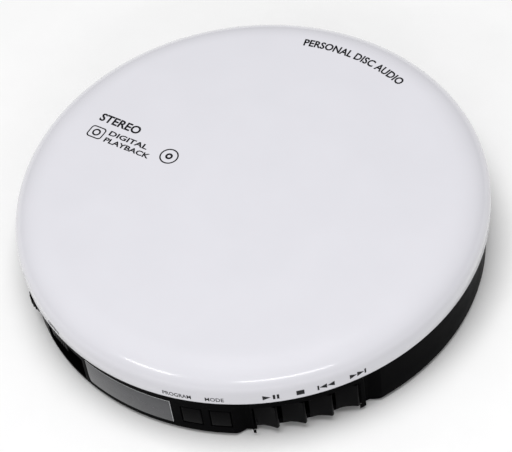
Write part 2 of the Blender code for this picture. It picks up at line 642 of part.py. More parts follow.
def lid_shell():
    edge = [(LID_RADIUS, LID_EDGE_Z), (LID_RADIUS - LID_WALL, LID_EDGE_Z)]
    shell = turned("lid_shell", shoulder(0.0) + edge + shoulder(LID_WALL)[::-1], WHITE)
    at = lid_nub()
    nub_top = LID_EDGE_Z + LID_BAND + 4.0 * MM
    join(shell, rod("nub", (at.x, at.y, WELL_FLOOR_Z + 0.2 * MM), (at.x, at.y, nub_top), NUB_RADIUS))


def lid_inner_panel():
    radius = LID_RADIUS - LID_SHOULDER + 1.0 * MM
    rim, step = 4.0 * MM, 0.2 * MM
    low = PANEL_TOP_Z - PANEL_THICKNESS
    profile = [(0.0, PANEL_TOP_Z), (radius, PANEL_TOP_Z), (radius, low), (radius - rim, low),
               (radius - rim - 3 * step, low + step), (0.0, low + step)]
    turned("lid_inner_panel", profile, DARK_GREY)


def hinge_arms():
    top = UNDER_PANEL_Z - HINGE_Z
    heel = [(KNUCKLE_RADIUS * math.cos(a), KNUCKLE_RADIUS * math.sin(a))
            for a in [math.radians(-90 + 15 * i) for i in range(7)]]
    toe = [(-TOE_RADIUS * math.cos(a), -TOE_RADIUS * math.sin(a))
           for a in [math.radians(22 * i) for i in range(4)]]
    front, back = -0.5 * MM, -0.5 * MM + ARM_STEM
    bend_low, bend_high = top - 5.1 * MM, top - 2.6 * MM
    under_tab = top - TAB_THICKNESS
    outline = (heel + [(KNUCKLE_RADIUS, bend_low), (back, bend_high), (back, top), (-ARM_REACH, top),
                       (-ARM_REACH, under_tab), (front, under_tab), (front, TOE_RADIUS)] + toe)
    lug_reach = HINGE_WIDTH / 2 + LUG_THICKNESS
    pin_past_lug = 0.6 * MM
    spring_seat = 5.2 * MM
    for side, word in ((-1, "left"), (1, "right")):
        arm = plate("hinge_arm_" + word, [outline], -HINGE_WIDTH / 2, HINGE_WIDTH / 2, BLACK)
        arm.location = (side * HINGE_X, HINGE_Y, HINGE_Z)
        arm.rotation_euler = (math.pi / 2, 0.0, math.pi / 2)
        cut(arm, rod("arm_bore", (side * HINGE_X - HINGE_WIDTH, HINGE_Y, HINGE_Z),
                     (side * HINGE_X + HINGE_WIDTH, HINGE_Y, HINGE_Z), PIN_RADIUS + GAP))
        inner_reach = lug_reach + (spring_seat if side > 0 else pin_past_lug)
        rod("hinge_pin_" + word, (side * (HINGE_X - inner_reach), HINGE_Y, HINGE_Z),
            (side * (HINGE_X + lug_reach + pin_past_lug), HINGE_Y, HINGE_Z), PIN_RADIUS, STEEL)
    spring = coil("lid_spring", 4, LID_SPRING_RADIUS, LID_SPRING_RADIUS, LID_SPRING_LENGTH, 0.35 * MM, STEEL)
    spring.location = (HINGE_X - lug_reach - LID_SPRING_LENGTH - 1.4 * MM, HINGE_Y, HINGE_Z)
    spring.rotation_euler = (0.0, math.pi / 2, 0.0)


def lid_catch():
    """A tab that hangs from the lid, with a notch that the slider's claw enters."""
    across = (-CATCH_WIDTH / 2, CATCH_WIDTH / 2)
    outer = CATCH_INNER + TAB_THICKNESS
    catch = radial_box("lid_catch", LATCH_AZ, (CATCH_INNER - CATCH_FOOT, outer), across,
                       (UNDER_PANEL_Z - TAB_THICKNESS, UNDER_PANEL_Z), BLACK)
    join(catch, radial_box("catch_tab", LATCH_AZ, (CATCH_INNER, outer), across,
                           (CASE_TOP_Z - CATCH_DROP, UNDER_PANEL_Z - SINK)))
    notch_low = SLIDER_TOP_Z - CLAW_HEIGHT - 0.1 * MM
    cut(catch, radial_box("catch_notch", LATCH_AZ, (CATCH_INNER - OVERCUT, outer + OVERCUT),
                          (0.5 * MM, CATCH_WIDTH), (notch_low, notch_low + CATCH_NOTCH)))


def open_slider():
    knob_left = STEM_LEFT - 2.0 * MM
    slider = radial_box("open_slider", LATCH_AZ, (RECESS_BACK + GAP, CASE_RADIUS - KNOB_SET_BACK),
                        (knob_left, knob_left + KNOB_WIDTH),
                        (STEM_Z - KNOB_HEIGHT / 2, STEM_Z + KNOB_HEIGHT / 2), BLACK_KEY)
    join(slider, radial_box("stem", LATCH_AZ, (SLIDER_OUTER - SINK, RECESS_BACK + GAP + SINK),
                            (STEM_LEFT, STEM_RIGHT), (STEM_Z - STEM_HALF_HEIGHT, STEM_Z + STEM_HALF_HEIGHT)))
    join(slider, radial_box("slider_plate", LATCH_AZ, (SLIDER_OUTER - SLIDER_THICKNESS, SLIDER_OUTER),
                            (SLIDER_LEFT, SLIDER_RIGHT), (BOARD_TOP + GAP, SLIDER_TOP_Z)))
    join(slider, radial_box("claw", LATCH_AZ, (SLIDER_OUTER - SINK, CATCH_INNER + CLAW_REACH),
                            (CATCH_WIDTH / 2 + GAP, SLIDER_RIGHT), (SLIDER_TOP_Z - CLAW_HEIGHT, SLIDER_TOP_Z)))
    wire, radius, length = 0.22 * MM, 1.3 * MM, 5.0 * MM
    spring = coil("slider_spring", 4, radius, radius, length, wire, STEEL)
    along = Vector((-math.sin(LATCH_AZ), math.cos(LATCH_AZ), 0.0))
    spring.location = (polar(SLIDER_OUTER - radius - 2 * GAP, LATCH_AZ, RECESS_HIGH_Z + 1.4 * MM)
                       + along * (SLIDER_LEFT - length - 2 * GAP))
    spring.rotation_euler = along.to_track_quat("Z", "Y").to_euler()


# Edge keys, the strip of switches behind them, display, dial and jacks

def key(name, azimuth, width, height, left_face, right_face):
    """A key that slides in along its azimuth: a neck through the wall and a taller flange behind it."""
    half = width / 2
    outline = [(KEY_BACK, -half), (left_face, -half), (right_face, half - KEY_NOSE),
               (right_face - KEY_NOSE, half), (KEY_BACK, half)]
    made = plate(name, [outline], -height / 2, height / 2, BLACK_KEY)
    made.location = (0.0, 0.0, KEY_MID_Z)
    made.rotation_euler.z = azimuth
    inset = 0.2 * MM
    reach = height / 2 + KEY_LIP
    join(made, radial_box("key_flange", azimuth, (KEY_BACK - 0.1 * MM, KEY_BACK + KEY_FLANGE),
                          (inset - half, half - inset), (KEY_MID_Z - reach, KEY_MID_Z + reach)))


def keys():
    names = ("play_pause_button", "stop_button", "previous_button", "next_button")
    low_face = CASE_RADIUS - SCOOP_DEPTH + KEY_PROUD
    for name, azimuth in zip(names, KEY_AZIMUTHS):
        key(name, azimuth, KEY_WIDTH, KEY_HEIGHT, low_face, low_face + KEY_STEP)
    for name, azimuth in SMALL_KEY_AZ.items():
        key(name, azimuth, SMALL_KEY_WIDTH, SMALL_KEY_HEIGHT, CASE_RADIUS - 0.15 * MM, CASE_RADIUS + 0.1 * MM)
    margin = math.radians(5)
    strip = curved_plate("key_switch_strip", SWITCH_FACE - STRIP_THICKNESS, SWITCH_FACE,
                         min(SMALL_KEY_AZ.values()) - margin, KEY_AZIMUTHS[-1] + margin,
                         BOARD_TOP + GAP, KEY_MID_Z + STRIP_RISE, AMBER, count=13)
    dome_z = KEY_MID_Z + 1 * MM
    for azimuth in KEY_AZIMUTHS + list(SMALL_KEY_AZ.values()):
        join(strip, rod("dome", polar(SWITCH_FACE - STRIP_THICKNESS / 2, azimuth, dome_z),
                        polar(SWITCH_FACE + SWITCH_GAP - GAP, azimuth, dome_z), DOME_RADIUS,
                        end_radius=0.7 * DOME_RADIUS, steps=PIN_STEPS))


def display():
    start, end = WINDOW_START + GAP / CASE_RADIUS, WINDOW_END - GAP / CASE_RADIUS
    low = WINDOW_LOW_Z + GAP
    window = curved_plate("display_window", CASE_INNER - 0.8 * MM, CASE_RADIUS, start, end, low,
                          WINDOW_HIGH_Z - GAP, SMOKE, count=17)
    join(window, curved_plate("window_lip", CASE_INNER - WINDOW_BACK, CASE_INNER - GAP, start, end, low,
                              WINDOW_HIGH_Z + WINDOW_LIP, count=17))
    face = math.sqrt((CASE_INNER - WINDOW_BACK) ** 2 - LCD_HALF_WIDTH ** 2) - GAP
    radial_box("lcd_panel", (WINDOW_START + WINDOW_END) / 2, (face - LCD_THICKNESS, face),
               (-LCD_HALF_WIDTH, LCD_HALF_WIDTH), (BOARD_TOP + GAP, WINDOW_HIGH_Z + 1.0 * MM), LCD_GLASS)


def dial_centre():
    return polar(CASE_RADIUS + DIAL_PROUD - DIAL_RADIUS, DIAL_AZ, DIAL_Z)


def volume():
    outline = []
    for i in range(DIAL_TEETH):
        for step, depth in ((0.0, 0.0), (0.5, DIAL_TOOTH)):
            angle = math.tau * (i + step) / DIAL_TEETH
            outline.append(((DIAL_RADIUS - depth) * math.cos(angle), (DIAL_RADIUS - depth) * math.sin(angle)))
    half = DIAL_THICKNESS / 2
    dial = plate("volume_dial", [outline, circle(DIAL_BORE, PIN_STEPS)], -half, half, BLACK_KEY)
    at = dial_centre()
    dial.location = at
    under = DIAL_Z - half - GAP
    control = rod("volume_control", (at.x, at.y, BOARD_TOP + GAP), (at.x, at.y, under), CONTROL_RADIUS, STEEL)
    join(control, rod("control_shaft", (at.x, at.y, under - SINK), (at.x, at.y, DIAL_Z + half),
                      DIAL_BORE - 0.35 * MM, steps=PIN_STEPS))


def jacks():
    inner = CASE_INNER - JACK_LENGTH
    for name, azimuth, collar, hole in (("headphone_jack", HEADPHONE_AZ, HEADPHONE_COLLAR, HEADPHONE_HOLE),
                                        ("dc_jack", POWER_AZ, POWER_COLLAR, POWER_HOLE)):
        body = radial_box(name, azimuth, (inner, CASE_INNER - 0.5 * MM), (-JACK_HALF_WIDTH, JACK_HALF_WIDTH),
                          (BOARD_TOP + GAP, JACK_Z + JACK_RISE), CHIP)
        join(body, rod("collar", polar(CASE_INNER - 2 * MM, azimuth, JACK_Z),
                       polar(CASE_RADIUS - 0.2 * MM, azimuth, JACK_Z), collar))
        cut(body, rod("socket", polar(inner + 1.5 * MM, azimuth, JACK_Z),
                      polar(CASE_RADIUS + OVERCUT, azimuth, JACK_Z), hole))
        if name == "dc_jack":
            join(body, rod("centre_pin", polar(inner + 1 * MM, azimuth, JACK_Z),
                           polar(CASE_RADIUS - 1.2 * MM, azimuth, JACK_Z), POWER_PIN, steps=PIN_STEPS))


# Battery bay: door in the floor, springs and contacts

def door_opening():
    """Left, front, right and rear of the hole in the floor, which is longer than the door by its travel."""
    right = BAY_HALF_LENGTH - DOOR_MARGIN
    return -right, BAY_FRONT_Y - DOOR_TRAVEL + 0.2 * MM, right, BAY_REAR_Y - 0.1 * MM


def hook_y():
    return (BAY_FRONT_Y + BAY_REAR_Y) / 2


def battery_parts():
    left, front, right, rear = door_opening()
    door = box("battery_door", (left + GAP, front + DOOR_TRAVEL + GAP, CASE_BOTTOM_Z),
               (right - GAP, rear - GAP, CASE_BOTTOM_Z + DOOR_THICKNESS), BLACK)
    hook_low = CASE_FLOOR_TOP + GAP
    hook_front, hook_rear = hook_y() - HOOK_HALF_LENGTH, hook_y() + HOOK_HALF_LENGTH
    for side in (-1, 1):
        near, far = sorted((side * (right - 4 * GAP), side * (right - GAP)))
        join(door, box("hook_stem", (near, hook_front, CASE_BOTTOM_Z + SINK),
                       (far, hook_rear, hook_low + HOOK_THICKNESS)))
        near, far = sorted((side * (right - 3 * GAP), side * (right + HOOK_REACH)))
        join(door, box("hook_lip", (near, hook_front, hook_low), (far, hook_rear, hook_low + HOOK_THICKNESS)))
    first_row = BAY_FRONT_Y + CELL_ROOM + CELL_DIAMETER / 2
    second_row = BAY_REAR_Y - CELL_ROOM - CELL_DIAMETER / 2
    middle_z = (CASE_FLOOR_TOP + BAY_TOP_Z) / 2 + SINK
    end = BAY_HALF_LENGTH - GAP
    for side, word, spring_row, plate_row in ((-1, "left", first_row, second_row),
                                              (1, "right", second_row, first_row)):
        spring = coil("battery_spring_" + word, 3.5, BATTERY_SPRING_RADIUS, 0.57 * BATTERY_SPRING_RADIUS,
                      BATTERY_SPRING_LENGTH, BATTERY_WIRE, BRIGHT)
        spring.location = (side * (end - BATTERY_WIRE), spring_row, middle_z)
        spring.rotation_euler = (0.0, -side * math.pi / 2, 0.0)
        near, far = sorted((side * (end - CONTACT_THICKNESS), side * end))
        contact = box("battery_contact_" + word, (near, plate_row - CONTACT_HALF, middle_z - CONTACT_HALF),
                      (far, plate_row + CONTACT_HALF, middle_z + CONTACT_HALF), BRIGHT)
        dimple_end = end - CONTACT_THICKNESS - 0.8 * MM
        join(contact, rod("dimple", (side * (end - GAP), plate_row, middle_z),
                          (side * dimple_end, plate_row, middle_z), 2.4 * MM, end_radius=1.5 * MM,
                          steps=PIN_STEPS))


# Disc drive: damped chassis, spindle motor and hub, sled on two rails, feed screw

def chassis():
    right, half, slot = CHASSIS_RIGHT, CHASSIS_HALF_DEPTH, CHASSIS_SLOT_HALF
    slot_left = MOTOR_RADIUS - 1.4 * MM
    outline = [(CHASSIS_LEFT, -half), (right, -half), (right, -slot), (slot_left, -slot), (slot_left, slot),
               (right, slot), (right, half), (CHASSIS_LEFT, half)]
    frame = plate("mechanism_chassis", [outline], CHASSIS_Z, CHASSIS_Z + CHASSIS_THICKNESS, STEEL)
    lug_top = CHASSIS_Z + CHASSIS_THICKNESS / 2
    for lug_left in (slot_left - RAIL_LUG, right - RAIL_LUG):
        for side in (-1, 1):
            near, far = sorted((side * (RAIL_Y - RAIL_LUG_RADIUS), side * (slot + 1.5 * MM)))
            join(frame, box("rail_lug", (lug_left, near, RAIL_Z - RAIL_LUG_RADIUS),
                            (lug_left + RAIL_LUG, far, lug_top)))
    join(frame, box("screw_lug", (right - RAIL_LUG, SCREW_Y - RAIL_LUG, SCREW_Z - RAIL_LUG),
                    (right, SCREW_Y + RAIL_LUG, lug_top)))
    for side, word in ((-1, "front"), (1, "rear")):
        y = side * RAIL_Y
        cut(frame, rod("rail_hole", (slot_left - OVERCUT, y, RAIL_Z), (right + OVERCUT, y, RAIL_Z),
                       RAIL_RADIUS + GAP, steps=PIN_STEPS))
        rod("guide_rail_" + word, (slot_left - RAIL_LUG, y, RAIL_Z), (right, y, RAIL_Z), RAIL_RADIUS, STEEL,
            steps=PIN_STEPS)
    cut(frame, rod("screw_bearing", (right - OVERCUT, SCREW_Y, SCREW_Z), (right + OVERCUT, SCREW_Y, SCREW_Z),
                   SCREW_RADIUS + GAP, steps=PIN_STEPS))
    cut(frame, rod("spindle_hole", (0, 0, CHASSIS_Z - OVERCUT), (0, 0, CHASSIS_Z + OVERCUT),
                   3.2 * SHAFT_RADIUS))
    low, high = DAMPER_SEAT_Z + GAP, CHASSIS_Z - GAP
    waist = (low + high) / 2
    groove, lip = 0.3 * MM, 0.7 * MM
    profile = [(0.0, high), (DAMPER_RADIUS, high), (DAMPER_RADIUS, waist + lip),
               (DAMPER_WAIST, waist + groove), (DAMPER_WAIST, waist - groove),
               (DAMPER_RADIUS, waist - lip), (DAMPER_RADIUS, low), (0.0, low)]
    for i, (x, y) in enumerate(DAMPER_SPOTS):
        damper = turned(f"damper_{i + 1}", profile, RUBBER, steps=PIN_STEPS)
        damper.location = (x, y, 0.0)


def spindle():
    top = CHASSIS_Z - GAP
    bottom = top - MOTOR_LENGTH
    shoulder_radius = MOTOR_RADIUS - MOTOR_ROUND
    turned("spindle_motor", [(0.0, top), (shoulder_radius, top), (MOTOR_RADIUS, top - MOTOR_ROUND),
                             (MOTOR_RADIUS, bottom + MOTOR_ROUND), (shoulder_radius, bottom), (0.0, bottom)],
           STEEL, steps=32)
    hub_low = DISC_REST_Z - HUB_FLANGE
    rod("spindle_shaft", (0, 0, top + GAP), (0, 0, hub_low - GAP), SHAFT_RADIUS, STEEL)
    hub_top = DISC_REST_Z + HUB_BOSS_HEIGHT
    taper = 1.2 * MM
    profile = [(0.0, hub_top), (HUB_BOSS_RADIUS - taper, hub_top), (HUB_BOSS_RADIUS, hub_top - taper),
               (HUB_BOSS_RADIUS, DISC_REST_Z), (HUB_FLANGE_RADIUS, DISC_REST_Z),
               (HUB_FLANGE_RADIUS, hub_low + 0.2 * MM), (4 * SHAFT_RADIUS, hub_low), (0.0, hub_low)]
    hub = turned("disc_hub", profile, DARK_GREY, steps=36)
    slot_outer = HUB_BOSS_RADIUS - 1.4 * MM
    for i in range(HUB_CLAWS):
        cut(hub, radial_box("claw_slot", math.tau * i / HUB_CLAWS + math.pi / 2,
                            (slot_outer - 0.8 * MM, slot_outer), (-1.9 * MM, 1.9 * MM),
                            (DISC_REST_Z + SINK, hub_top + OVERCUT)))


def pickup():
    right = LENS_HOME_X - SLED_BEHIND_LENS
    left = right - SLED_LENGTH
    low, high = RAIL_Z - RAIL_LUG_RADIUS, RAIL_Z + 1.7 * MM
    side_y = CHASSIS_SLOT_HALF - 0.5 * MM
    sled = box("pickup_sled", (left, -side_y, low), (right, side_y, high), STEEL)
    top = WELL_FLOOR_TOP + GAP
    join(sled, box("lens_tower", (LENS_HOME_X - TOWER_BEHIND, -TOWER_HALF_WIDTH, low - 1 * MM),
                   (LENS_HOME_X + TOWER_AHEAD, TOWER_HALF_WIDTH, top)))
    join(sled, box("follower", (left + 2 * MM, SCREW_Y + SCREW_RADIUS + GAP, SCREW_Z - 1 * MM),
                   (left + 6 * MM, -side_y + 1.5 * MM, low + 1 * MM)))
    for side in (-1, 1):
        cut(sled, rod("rail_bore", (left - OVERCUT, side * RAIL_Y, RAIL_Z),
                      (right + OVERCUT, side * RAIL_Y, RAIL_Z), RAIL_RADIUS + GAP, steps=PIN_STEPS))
    lens_low = top - LENS_HEIGHT / 2
    cut(sled, rod("lens_well", (LENS_HOME_X, 0, lens_low - 3 * GAP), (LENS_HOME_X, 0, top + OVERCUT),
                  LENS_RADIUS + GAP))
    lens_top = lens_low + LENS_HEIGHT
    dome = [(LENS_RADIUS * math.sin(a) * 0.75, lens_top - LENS_DOME * (1 - math.cos(a)))
            for a in [math.pi / 2 * i / 4 for i in range(5)]]
    lens = turned("objective_lens", dome + [(LENS_RADIUS, lens_top - LENS_DOME), (LENS_RADIUS, lens_low),
                                            (0.0, lens_low)], LENS_GLASS, steps=20)
    lens.location.x = LENS_HOME_X


def feed():
    motor_left = FEED_MOTOR_RIGHT - FEED_MOTOR_LENGTH
    rod("feed_motor", (motor_left, SCREW_Y, SCREW_Z), (FEED_MOTOR_RIGHT, SCREW_Y, SCREW_Z), FEED_MOTOR_RADIUS,
        STEEL)
    rod("feed_screw", (FEED_MOTOR_RIGHT + GAP, SCREW_Y, SCREW_Z), (CHASSIS_RIGHT, SCREW_Y, SCREW_Z),
        SCREW_RADIUS, STEEL, steps=PIN_STEPS)


# Boards, chips, lid switch, screws and feet

def boards():
    front_y = -CHASSIS_HALF_DEPTH - 2.9 * MM
    wing_x = CHASSIS_LEFT - BOARD_WING
    corner = math.asin(front_y / BOARD_RADIUS)
    outline = (arc(BOARD_RADIUS, BOARD_WING_TOP, math.tau + corner, 36)
               + [(wing_x, front_y), (wing_x, BOARD_RADIUS * math.sin(BOARD_WING_TOP))])
    board = plate("main_board", [outline], BOARD_Z, BOARD_TOP, BOARD)
    for x, y in SCREW_SPOTS:
        if y < front_y:
            cut(board, rod("post_hole", (x, y, BOARD_Z - OVERCUT), (x, y, BOARD_TOP + OVERCUT),
                           POST_RADIUS + 0.5 * MM))
    chip_low = BOARD_TOP + GAP
    for name, x, y, width, depth, height in (("decoder_chip", 0, -40, 14, 14, 1.6),
                                             ("buffer_memory_chip", 20, -36, 8, 15, 1.2),
                                             ("servo_chip", -19, -34, 10, 10, 1.5)):
        box(name, ((x - width / 2) * MM, (y - depth / 2) * MM, chip_low),
            ((x + width / 2) * MM, (y + depth / 2) * MM, chip_low + height * MM), CHIP)


def lid_switch():
    at = lid_nub()
    azimuth = math.atan2(at.y, at.x)
    top = WELL_FLOOR_Z - SWITCH_DROP
    switch = radial_box("lid_switch", azimuth, (CASE_INNER - 7 * MM, CASE_INNER - 0.5 * MM), (-3 * MM, 3 * MM),
                        (BOARD_TOP + GAP, top), CHIP)
    seat = polar(CASE_INNER - 2.0 * MM, azimuth)
    well = 2.2 * MM
    cut(switch, rod("plunger_well", (seat.x, seat.y, top - well), (seat.x, seat.y, top + OVERCUT),
                    PLUNGER_RADIUS + GAP))
    rod("lid_switch_plunger", (seat.x, seat.y, top - well + GAP), (seat.x, seat.y, WELL_FLOOR_Z - 4 * GAP),
        PLUNGER_RADIUS, DARK_GREY, steps=PIN_STEPS)


def fasteners_and_feet():
    tip, head_top = screw_tip(), CASE_BOTTOM_Z + SCREW_HEAD_SINK - GAP
    profile = [(0.0, tip), (SCREW_SHANK_RADIUS, tip), (SCREW_SHANK_RADIUS, head_top),
               (SCREW_HEAD_RADIUS, head_top), (SCREW_HEAD_RADIUS, head_top - SCREW_HEAD),
               (0.0, head_top - SCREW_HEAD)]
    for i, (x, y) in enumerate(SCREW_SPOTS):
        screw = turned(f"case_screw_{i + 1}", profile, STEEL, steps=SMALL_STEPS)
        screw.location = (x, y, 0.0)
    top, edge = CASE_BOTTOM_Z + FOOT_SINK - GAP, 0.3 * MM
    profile = [(0.0, top), (FOOT_RADIUS, top), (FOOT_RADIUS, edge), (FOOT_RADIUS - edge, 0.0), (0.0, 0.0)]
    for i, azimuth in enumerate(FOOT_AZIMUTHS):
        foot = turned(f"foot_{i + 1}", profile, RUBBER, steps=SMALL_STEPS)
        foot.location = foot_centre(azimuth)


for build in (lower_case, upper_cabinet, lid_shell, lid_inner_panel, hinge_arms, lid_catch, open_slider,
              keys, display, volume, jacks, battery_parts, chassis, spindle, pickup, feed, boards, lid_switch,
              fasteners_and_feet):
    build()
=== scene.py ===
"""Looks of a round portable disc player with a gloss white lid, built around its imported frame."""
import math

import bmesh
import bpy
from mathutils import Matrix, Vector


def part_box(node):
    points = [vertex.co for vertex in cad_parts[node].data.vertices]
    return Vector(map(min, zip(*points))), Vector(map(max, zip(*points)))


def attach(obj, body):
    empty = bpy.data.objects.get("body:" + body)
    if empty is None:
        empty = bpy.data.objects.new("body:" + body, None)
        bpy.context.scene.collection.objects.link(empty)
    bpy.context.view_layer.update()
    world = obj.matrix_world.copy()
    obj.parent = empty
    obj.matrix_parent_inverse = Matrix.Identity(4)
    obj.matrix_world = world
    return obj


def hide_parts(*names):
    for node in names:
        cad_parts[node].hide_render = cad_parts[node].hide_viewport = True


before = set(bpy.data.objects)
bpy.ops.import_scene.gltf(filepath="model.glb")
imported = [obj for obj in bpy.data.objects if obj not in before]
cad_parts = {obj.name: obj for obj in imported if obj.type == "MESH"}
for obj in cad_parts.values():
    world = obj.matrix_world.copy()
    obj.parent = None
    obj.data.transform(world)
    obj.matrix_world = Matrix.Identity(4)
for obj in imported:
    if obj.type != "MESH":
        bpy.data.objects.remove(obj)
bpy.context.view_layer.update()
mm = 0.001


# Camera, floor and lights
# The player stands on a pale table. The camera looks down on it from the front right, with a long lens.

lid_low, lid_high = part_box("lid_shell")
lid_radius = (lid_high[0] - lid_low[0]) / 2
lid_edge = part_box("lower_case")[1][2] - 0.2 * mm
camera_distance = 0.5832
camera_height_angle = math.radians(49.52)
camera_azimuth = math.radians(38.5)
camera_roll = math.radians(-8.87)

right = Vector((math.cos(camera_azimuth), math.sin(camera_azimuth), 0.0))
toward = Vector((math.sin(camera_azimuth) * math.cos(camera_height_angle),
                 -math.cos(camera_azimuth) * math.cos(camera_height_angle), math.sin(camera_height_angle)))
up = toward.cross(right)
rolled_right = math.cos(camera_roll) * right + math.sin(camera_roll) * up
rolled_up = -math.sin(camera_roll) * right + math.cos(camera_roll) * up
camera_data = bpy.data.cameras.new("camera")
camera_data.lens = 140.6
camera_data.sensor_width = 36.0
camera_data.shift_x = 0.00625
camera_data.shift_y = -0.0336
camera_data.clip_start = 0.01
camera = bpy.data.objects.new("camera", camera_data)
turn = Matrix((rolled_right, rolled_up, toward)).transposed().to_4x4()
camera.matrix_world = Matrix.Translation(toward * camera_distance + Vector((0.0, 0.0, lid_edge))) @ turn
bpy.context.scene.collection.objects.link(camera)
bpy.context.scene.camera = camera

world = bpy.data.worlds.new("studio")
world.use_nodes = True
world.node_tree.nodes["Background"].inputs["Color"].default_value = (1.0, 1.0, 1.0, 1.0)
world.node_tree.nodes["Background"].inputs["Strength"].default_value = 0.27
bpy.context.scene.world = world
bpy.context.scene.view_settings.view_transform = "Standard"


def softbox(name, azimuth, height, distance, width, length, power, mirrored=True):
    """An area light that faces the player from an azimuth, in degrees from the front, and a height angle.

    A light that is not mirrored leaves no highlight in glossy faces."""
    angle, rise = math.radians(azimuth), math.radians(height)
    place = distance * Vector((math.sin(angle) * math.cos(rise), -math.cos(angle) * math.cos(rise),
                               math.sin(rise)))
    data = bpy.data.lights.new(name, "AREA")
    data.shape = "RECTANGLE"
    data.size, data.size_y, data.energy = width, length, power
    lamp = bpy.data.objects.new(name, data)
    lamp.location = place
    lamp.visible_glossy = mirrored
    lamp.rotation_euler = place.to_track_quat("Z", "Y").to_euler()
    bpy.context.scene.collection.objects.link(lamp)


softbox("overhead_softbox", 20, 84, 1.3, 0.8, 0.8, 14.5, mirrored=False)
softbox("left_strip", -15, 32, 1.0, 0.34, 0.06, 0.65)
softbox("right_strip", 41, 32, 1.0, 0.60, 0.06, 1.15)


def shader_of(name):
    material = bpy.data.materials.new(name)
    material.use_nodes = True
    return material, material.node_tree, material.node_tree.nodes["Principled BSDF"]


def noise_in(tree, scale, detail):
    """A noise texture on the object's own coordinates."""
    coordinates = tree.nodes.new("ShaderNodeTexCoord")
    noise = tree.nodes.new("ShaderNodeTexNoise")
    noise.inputs["Scale"].default_value = scale
    noise.inputs["Detail"].default_value = detail
    tree.links.new(coordinates.outputs["Object"], noise.inputs["Vector"])
    return noise


def spread(tree, source, low, high):
    """Maps a noise value from its middle range to low..high."""
    ranged = tree.nodes.new("ShaderNodeMapRange")
    ranged.inputs["From Min"].default_value = 0.3
    ranged.inputs["From Max"].default_value = 0.7
    ranged.inputs["To Min"].default_value = low
    ranged.inputs["To Max"].default_value = high
    tree.links.new(source.outputs["Fac"], ranged.inputs["Value"])
    return ranged.outputs["Result"]


cloud_scale, rub_scale, gloss_change = 60.0, 220.0, 0.12


def moulded(name, colour, roughness, grain, depth, wear, specular=0.5, coat=0.0, edge=0.0):
    """Moulded plastic: slight colour and gloss changes, a fine grain and, with an edge width, soft edges."""
    material, tree, shader = shader_of(name)
    clouds = noise_in(tree, cloud_scale, 4.0)
    tint = tree.nodes.new("ShaderNodeMix")
    tint.data_type = "RGBA"
    tint.inputs["A"].default_value = (*[channel * (1 - wear) for channel in colour], 1.0)
    tint.inputs["B"].default_value = (*[min(1.0, channel * (1 + wear)) for channel in colour], 1.0)
    tree.links.new(spread(tree, clouds, 0.0, 1.0), tint.inputs["Factor"])
    tree.links.new(tint.outputs["Result"], shader.inputs["Base Color"])
    rubbed = noise_in(tree, rub_scale, 3.0)
    tree.links.new(spread(tree, rubbed, roughness * (1 - gloss_change), roughness * (1 + gloss_change)),
                   shader.inputs["Roughness"])
    shader.inputs["Specular IOR Level"].default_value = specular
    shader.inputs["Coat Weight"].default_value = coat
    shader.inputs["Coat Roughness"].default_value = 0.06
    bump = tree.nodes.new("ShaderNodeBump")
    bump.inputs["Strength"].default_value = depth
    bump.inputs["Distance"].default_value = 0.0002
    tree.links.new(noise_in(tree, grain, 2.0).outputs["Fac"], bump.inputs["Height"])
    if edge:
        soft = tree.nodes.new("ShaderNodeBevel")
        soft.samples = 4
        soft.inputs["Radius"].default_value = edge
        tree.links.new(soft.outputs["Normal"], bump.inputs["Normal"])
    tree.links.new(bump.outputs["Normal"], shader.inputs["Normal"])
    return material


table_mesh = bpy.data.meshes.new("table")
table_shape = bmesh.new()
bmesh.ops.create_grid(table_shape, x_segments=1, y_segments=1, size=3.0)
table_shape.to_mesh(table_mesh)
table_shape.free()
table = bpy.data.objects.new("table", table_mesh)
pale_table = moulded("pale_table", (0.90, 0.90, 0.90), 0.6, grain=300.0, depth=0.01, wear=0.01)
table_mesh.materials.append(pale_table)
bpy.context.scene.collection.objects.link(table)


# Lid shell
# One white gloss moulding with an upright rim, a rounded shoulder and a slightly crowned top. A small nub
# inside the rim presses the lid switch.

lid_wall = 1.2 * mm
rim_height = 4.6 * mm
shoulder_width = 10.5 * mm
lid_rise = 11.7 * mm
lid_crown = 0.7 * mm
rim_round = 0.35 * mm
crown_steps, top_to_wall = 12, 1.25
nub_reach, nub_azimuth, nub_radius = 64.2 * mm, math.radians(196), 1.1 * mm
nub_low, nub_high = 17.6 * mm, lid_edge + 8.6 * mm
sharp_angle = math.radians(32)
gloss_white = moulded("gloss_white", (0.700, 0.695, 0.740), 0.20, grain=900.0, depth=0.006, wear=0.012,
                      coat=0.5)


def scene_object(name, mesh, material=None):
    made = bpy.data.objects.new(name, mesh)
    bpy.context.scene.collection.objects.link(made)
    if material:
        mesh.materials.clear()
        mesh.materials.append(material)
    return made


def lathe(name, profile, steps, material, centre=(0.0, 0.0)):
    """A turned piece from (radius, height) points that run down its outer side, as one closed mesh."""
    mesh = bpy.data.meshes.new(name)
    closed = profile[0][0] > 0.0
    count = len(profile)
    mesh.from_pydata([(radius, 0.0, height) for radius, height in profile],
                     [(i, (i + 1) % count) for i in range(count if closed else count - 1)], [])
    made = scene_object(name, mesh)
    spin = made.modifiers.new("spin", "SCREW")
    spin.steps = spin.render_steps = steps
    spin.angle = math.tau
    spin.use_merge_vertices = True
    spin.merge_threshold = 0.00001
    settle(made)
    made.data.transform(Matrix.Translation((*centre, 0.0)))
    made.data.materials.append(material)
    return made


